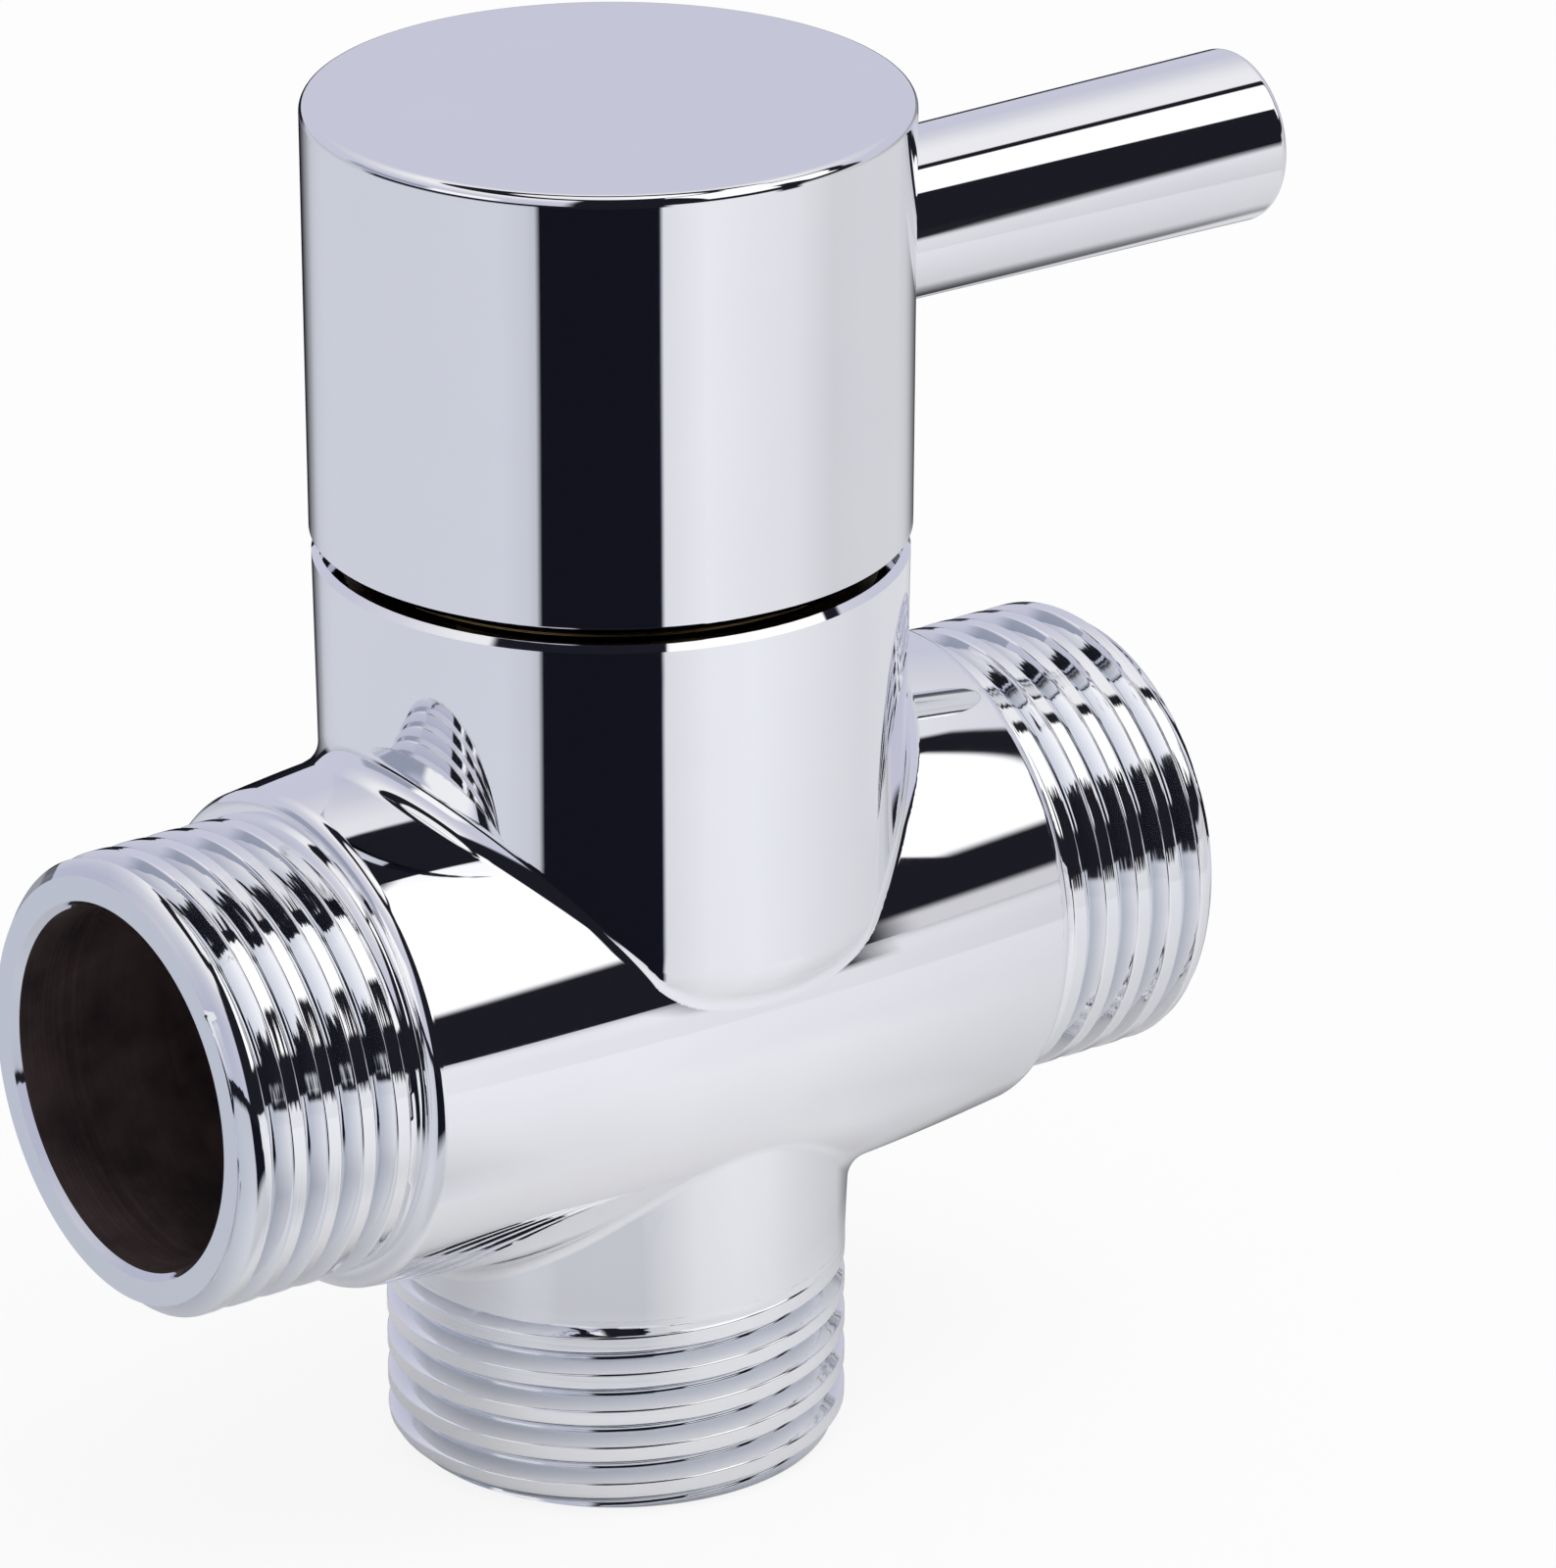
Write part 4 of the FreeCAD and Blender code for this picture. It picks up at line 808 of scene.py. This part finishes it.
sheet_paint.data.foreach_set(
    "color", sheet_colours(np.hypot(across, along), np.degrees(np.arctan2(along, across))).ravel()
)
sheet.visible_camera = False
sheet.visible_diffuse = False
sheet.visible_shadow = False

world = bpy.data.worlds.new("studio_room")
bpy.context.scene.world = world
world.use_nodes = True
room = world.node_tree
room.nodes.clear()


def room_math(operation, first, second):
    """A Math node of the room on two inputs, each a socket or a number."""
    node = room.nodes.new("ShaderNodeMath")
    node.operation = operation
    for socket, value in zip(node.inputs, (first, second)):
        if isinstance(value, (int, float)):
            socket.default_value = value
        else:
            room.links.new(value, socket)
    return node.outputs["Value"]


def room_ramp(value, start, stop, low=0.0, high=1.0, kind="SMOOTHSTEP"):
    """A value carried from start..stop to low..high, held at both ends."""
    node = room.nodes.new("ShaderNodeMapRange")
    node.interpolation_type = kind
    for name, number in (("From Min", start), ("From Max", stop), ("To Min", low), ("To Max", high)):
        node.inputs[name].default_value = number
    room.links.new(value, node.inputs["Value"])
    return node.outputs["Result"]


def room_band(value, start, stop, soft):
    """One between start and stop, nothing outside, with soft edges."""
    rise = room_ramp(value, start - soft, start + soft)
    fall = room_ramp(value, stop - soft, stop + soft, 1.0, 0.0)
    return room_math("MULTIPLY", rise, fall)


def room_paint(under, mask, tone):
    """A tone laid over the room's colour where the mask is one."""
    node = room.nodes.new("ShaderNodeMix")
    node.data_type = "RGBA"
    room.links.new(mask, node.inputs["Factor"])
    room.links.new(under, node.inputs["A"])
    node.inputs["B"].default_value = (*tone, 1)
    return node.outputs["Result"]


direction = room.nodes.new("ShaderNodeSeparateXYZ")
room.links.new(room.nodes.new("ShaderNodeTexCoord").outputs["Generated"], direction.inputs["Vector"])
rise = room_math("MULTIPLY", room_math("ARCSINE", direction.outputs["Z"], 0.0), 180 / math.pi)
bearing = room_math("ARCTAN2", direction.outputs["Y"], direction.outputs["X"])
bearing = room_math("MULTIPLY", bearing, 180 / math.pi)

wall = room.nodes.new("ShaderNodeValToRGB")
wall_tones = [(0.0, (0.60, 0.605, 0.72)), (0.30, (0.60, 0.605, 0.72)), (0.45, (0.70, 0.70, 0.77)),
              (0.60, (0.90, 0.90, 0.92)), (1.0, (0.92, 0.92, 0.94))]
for position, tone in wall_tones[1:-1]:
    wall.color_ramp.elements.new(position)
for element, (position, tone) in zip(wall.color_ramp.elements, wall_tones):
    element.position = position
    element.color = (*tone, 1)
room.links.new(room_ramp(rise, 0, 90, kind="LINEAR"), wall.inputs["Fac"])

# What hangs in the room, by bearing and rise in degrees: the dark room itself, a low wall at the right,
# the large lamp with a foot and a leaning edge, the ceiling, and a white and a shaded wall at the left.
lamp_lean = room_math("ADD", room_ramp(rise, 46, 56, 0, -5, "LINEAR"), room_ramp(rise, 58, 65, 0, 26))
lamp_edge = room_math("ADD", room_ramp(rise, 30, 46, -30, -13, "LINEAR"), lamp_lean)
past_edge = room_math("SUBTRACT", bearing, lamp_edge)
dark_room = room_math("MULTIPLY", room_ramp(bearing, -143, -137), room_ramp(past_edge, 8, 11, 1.0, 0.0))
dark_room = room_math("MULTIPLY", dark_room, room_ramp(rise, 60, 64, 1.0, 0.0))
low_wall = room_math("MULTIPLY", room_band(bearing, -51, -10, 1.5), room_ramp(rise, 4, 7, 1.0, 0.0))
lamp_foot = room_math("MULTIPLY", room_band(bearing, -56.5, -45.5, 1.5), 18.0)
lamp_over = room_math("SUBTRACT", room_math("SUBTRACT", rise, 20.0), lamp_foot)
lamp_face = room_math("MULTIPLY", room_ramp(bearing, -89, -87), room_ramp(lamp_over, -1.5, 1.5))
lamp_face = room_math("MULTIPLY", lamp_face, room_ramp(past_edge, -1, 1, 1.0, 0.0))
ceiling_edge = room_math("MULTIPLY", room_band(bearing, -92, 8, 8), 10.5)
ceiling = room_ramp(room_math("SUBTRACT", rise, ceiling_edge), 57.7, 59.3)
ceiling = room_math("MULTIPLY", ceiling, room_ramp(rise, 71.5, 74, 1.0, 0.0))
left_west = room_ramp(room_math("ABSOLUTE", bearing, 0.0), 163, 169)
white_wall = room_math("MULTIPLY", left_west, room_band(rise, 1, 20, 1))
left_shade = room_math("MULTIPLY", room_band(bearing, 126, 170, 4), room_band(rise, 3, 20, 2))
black = (0.012, 0.012, 0.018)
scenery = room_paint(wall.outputs["Color"], left_shade, (0.33, 0.36, 0.45))
scenery = room_paint(scenery, white_wall, (1.0, 1.0, 1.0))
scenery = room_paint(scenery, dark_room, black)
scenery = room_paint(scenery, low_wall, (0.66, 0.66, 0.69))
scenery = room_paint(scenery, lamp_face, (1.12, 1.12, 1.13))
scenery = room_paint(scenery, ceiling, black)

reflected = room.nodes.new("ShaderNodeBackground")
room.links.new(scenery, reflected.inputs["Color"])
even = room.nodes.new("ShaderNodeBackground")
even.inputs["Color"].default_value = (0.8, 0.8, 0.8, 1)
backdrop = room.nodes.new("ShaderNodeBackground")
backdrop.inputs["Color"].default_value = (1, 1, 1, 1)
path = room.nodes.new("ShaderNodeLightPath")
in_chrome = room.nodes.new("ShaderNodeMixShader")
room.links.new(path.outputs["Is Glossy Ray"], in_chrome.inputs["Fac"])
room.links.new(even.outputs["Background"], in_chrome.inputs[1])
room.links.new(reflected.outputs["Background"], in_chrome.inputs[2])
in_picture = room.nodes.new("ShaderNodeMixShader")
room.links.new(path.outputs["Is Camera Ray"], in_picture.inputs["Fac"])
room.links.new(in_chrome.outputs["Shader"], in_picture.inputs[1])
room.links.new(backdrop.outputs["Background"], in_picture.inputs[2])
room.links.new(in_picture.outputs["Shader"], room.nodes.new("ShaderNodeOutputWorld").inputs["Surface"])

soft_light = bpy.data.lights.new("soft_lamp", "AREA")
soft_light.shape = "SQUARE"
soft_light.size = 0.8
soft_light.energy = 4.0
soft_lamp = bpy.data.objects.new("soft_lamp", soft_light)
soft_lamp.location = Vector((0.25, -0.35, 1.1))
soft_lamp.rotation_euler = (-soft_lamp.location).to_track_quat("-Z", "Y").to_euler()
soft_lamp.visible_glossy = False
soft_lamp.visible_camera = False
bpy.context.scene.collection.objects.link(soft_lamp)

# Camera
# A long lens, half a metre off at the front left, that looks down at the valve.
# It aims a little above and to the right of the ports' axis, so the whole lever is in the picture.

camera_bearing = math.radians(-36.213)
camera_rise = math.radians(22.288)
camera_distance = 492.598
aim_right, aim_up = 7.431, 7.494
right = np.array([math.cos(camera_bearing), math.sin(camera_bearing), 0])
back = np.array([
    math.sin(camera_bearing) * math.cos(camera_rise),
    -math.cos(camera_bearing) * math.cos(camera_rise),
    math.sin(camera_rise),
])
up = np.cross(back, right)
stand = camera_distance * back + aim_right * right + aim_up * up + np.array([0, 0, port_height])
lens = bpy.data.cameras.new("camera")
lens.lens = 250.23
lens.sensor_width = 36.0
lens.clip_end = 20.0
camera = bpy.data.objects.new("camera", lens)
camera.matrix_world = Matrix((
    (right[0], up[0], back[0], stand[0] * mm),
    (right[1], up[1], back[1], stand[1] * mm),
    (right[2], up[2], back[2], stand[2] * mm),
    (0, 0, 0, 1),
))
bpy.context.scene.collection.objects.link(camera)
bpy.context.scene.camera = camera
bpy.context.scene.view_settings.view_transform = "Standard"
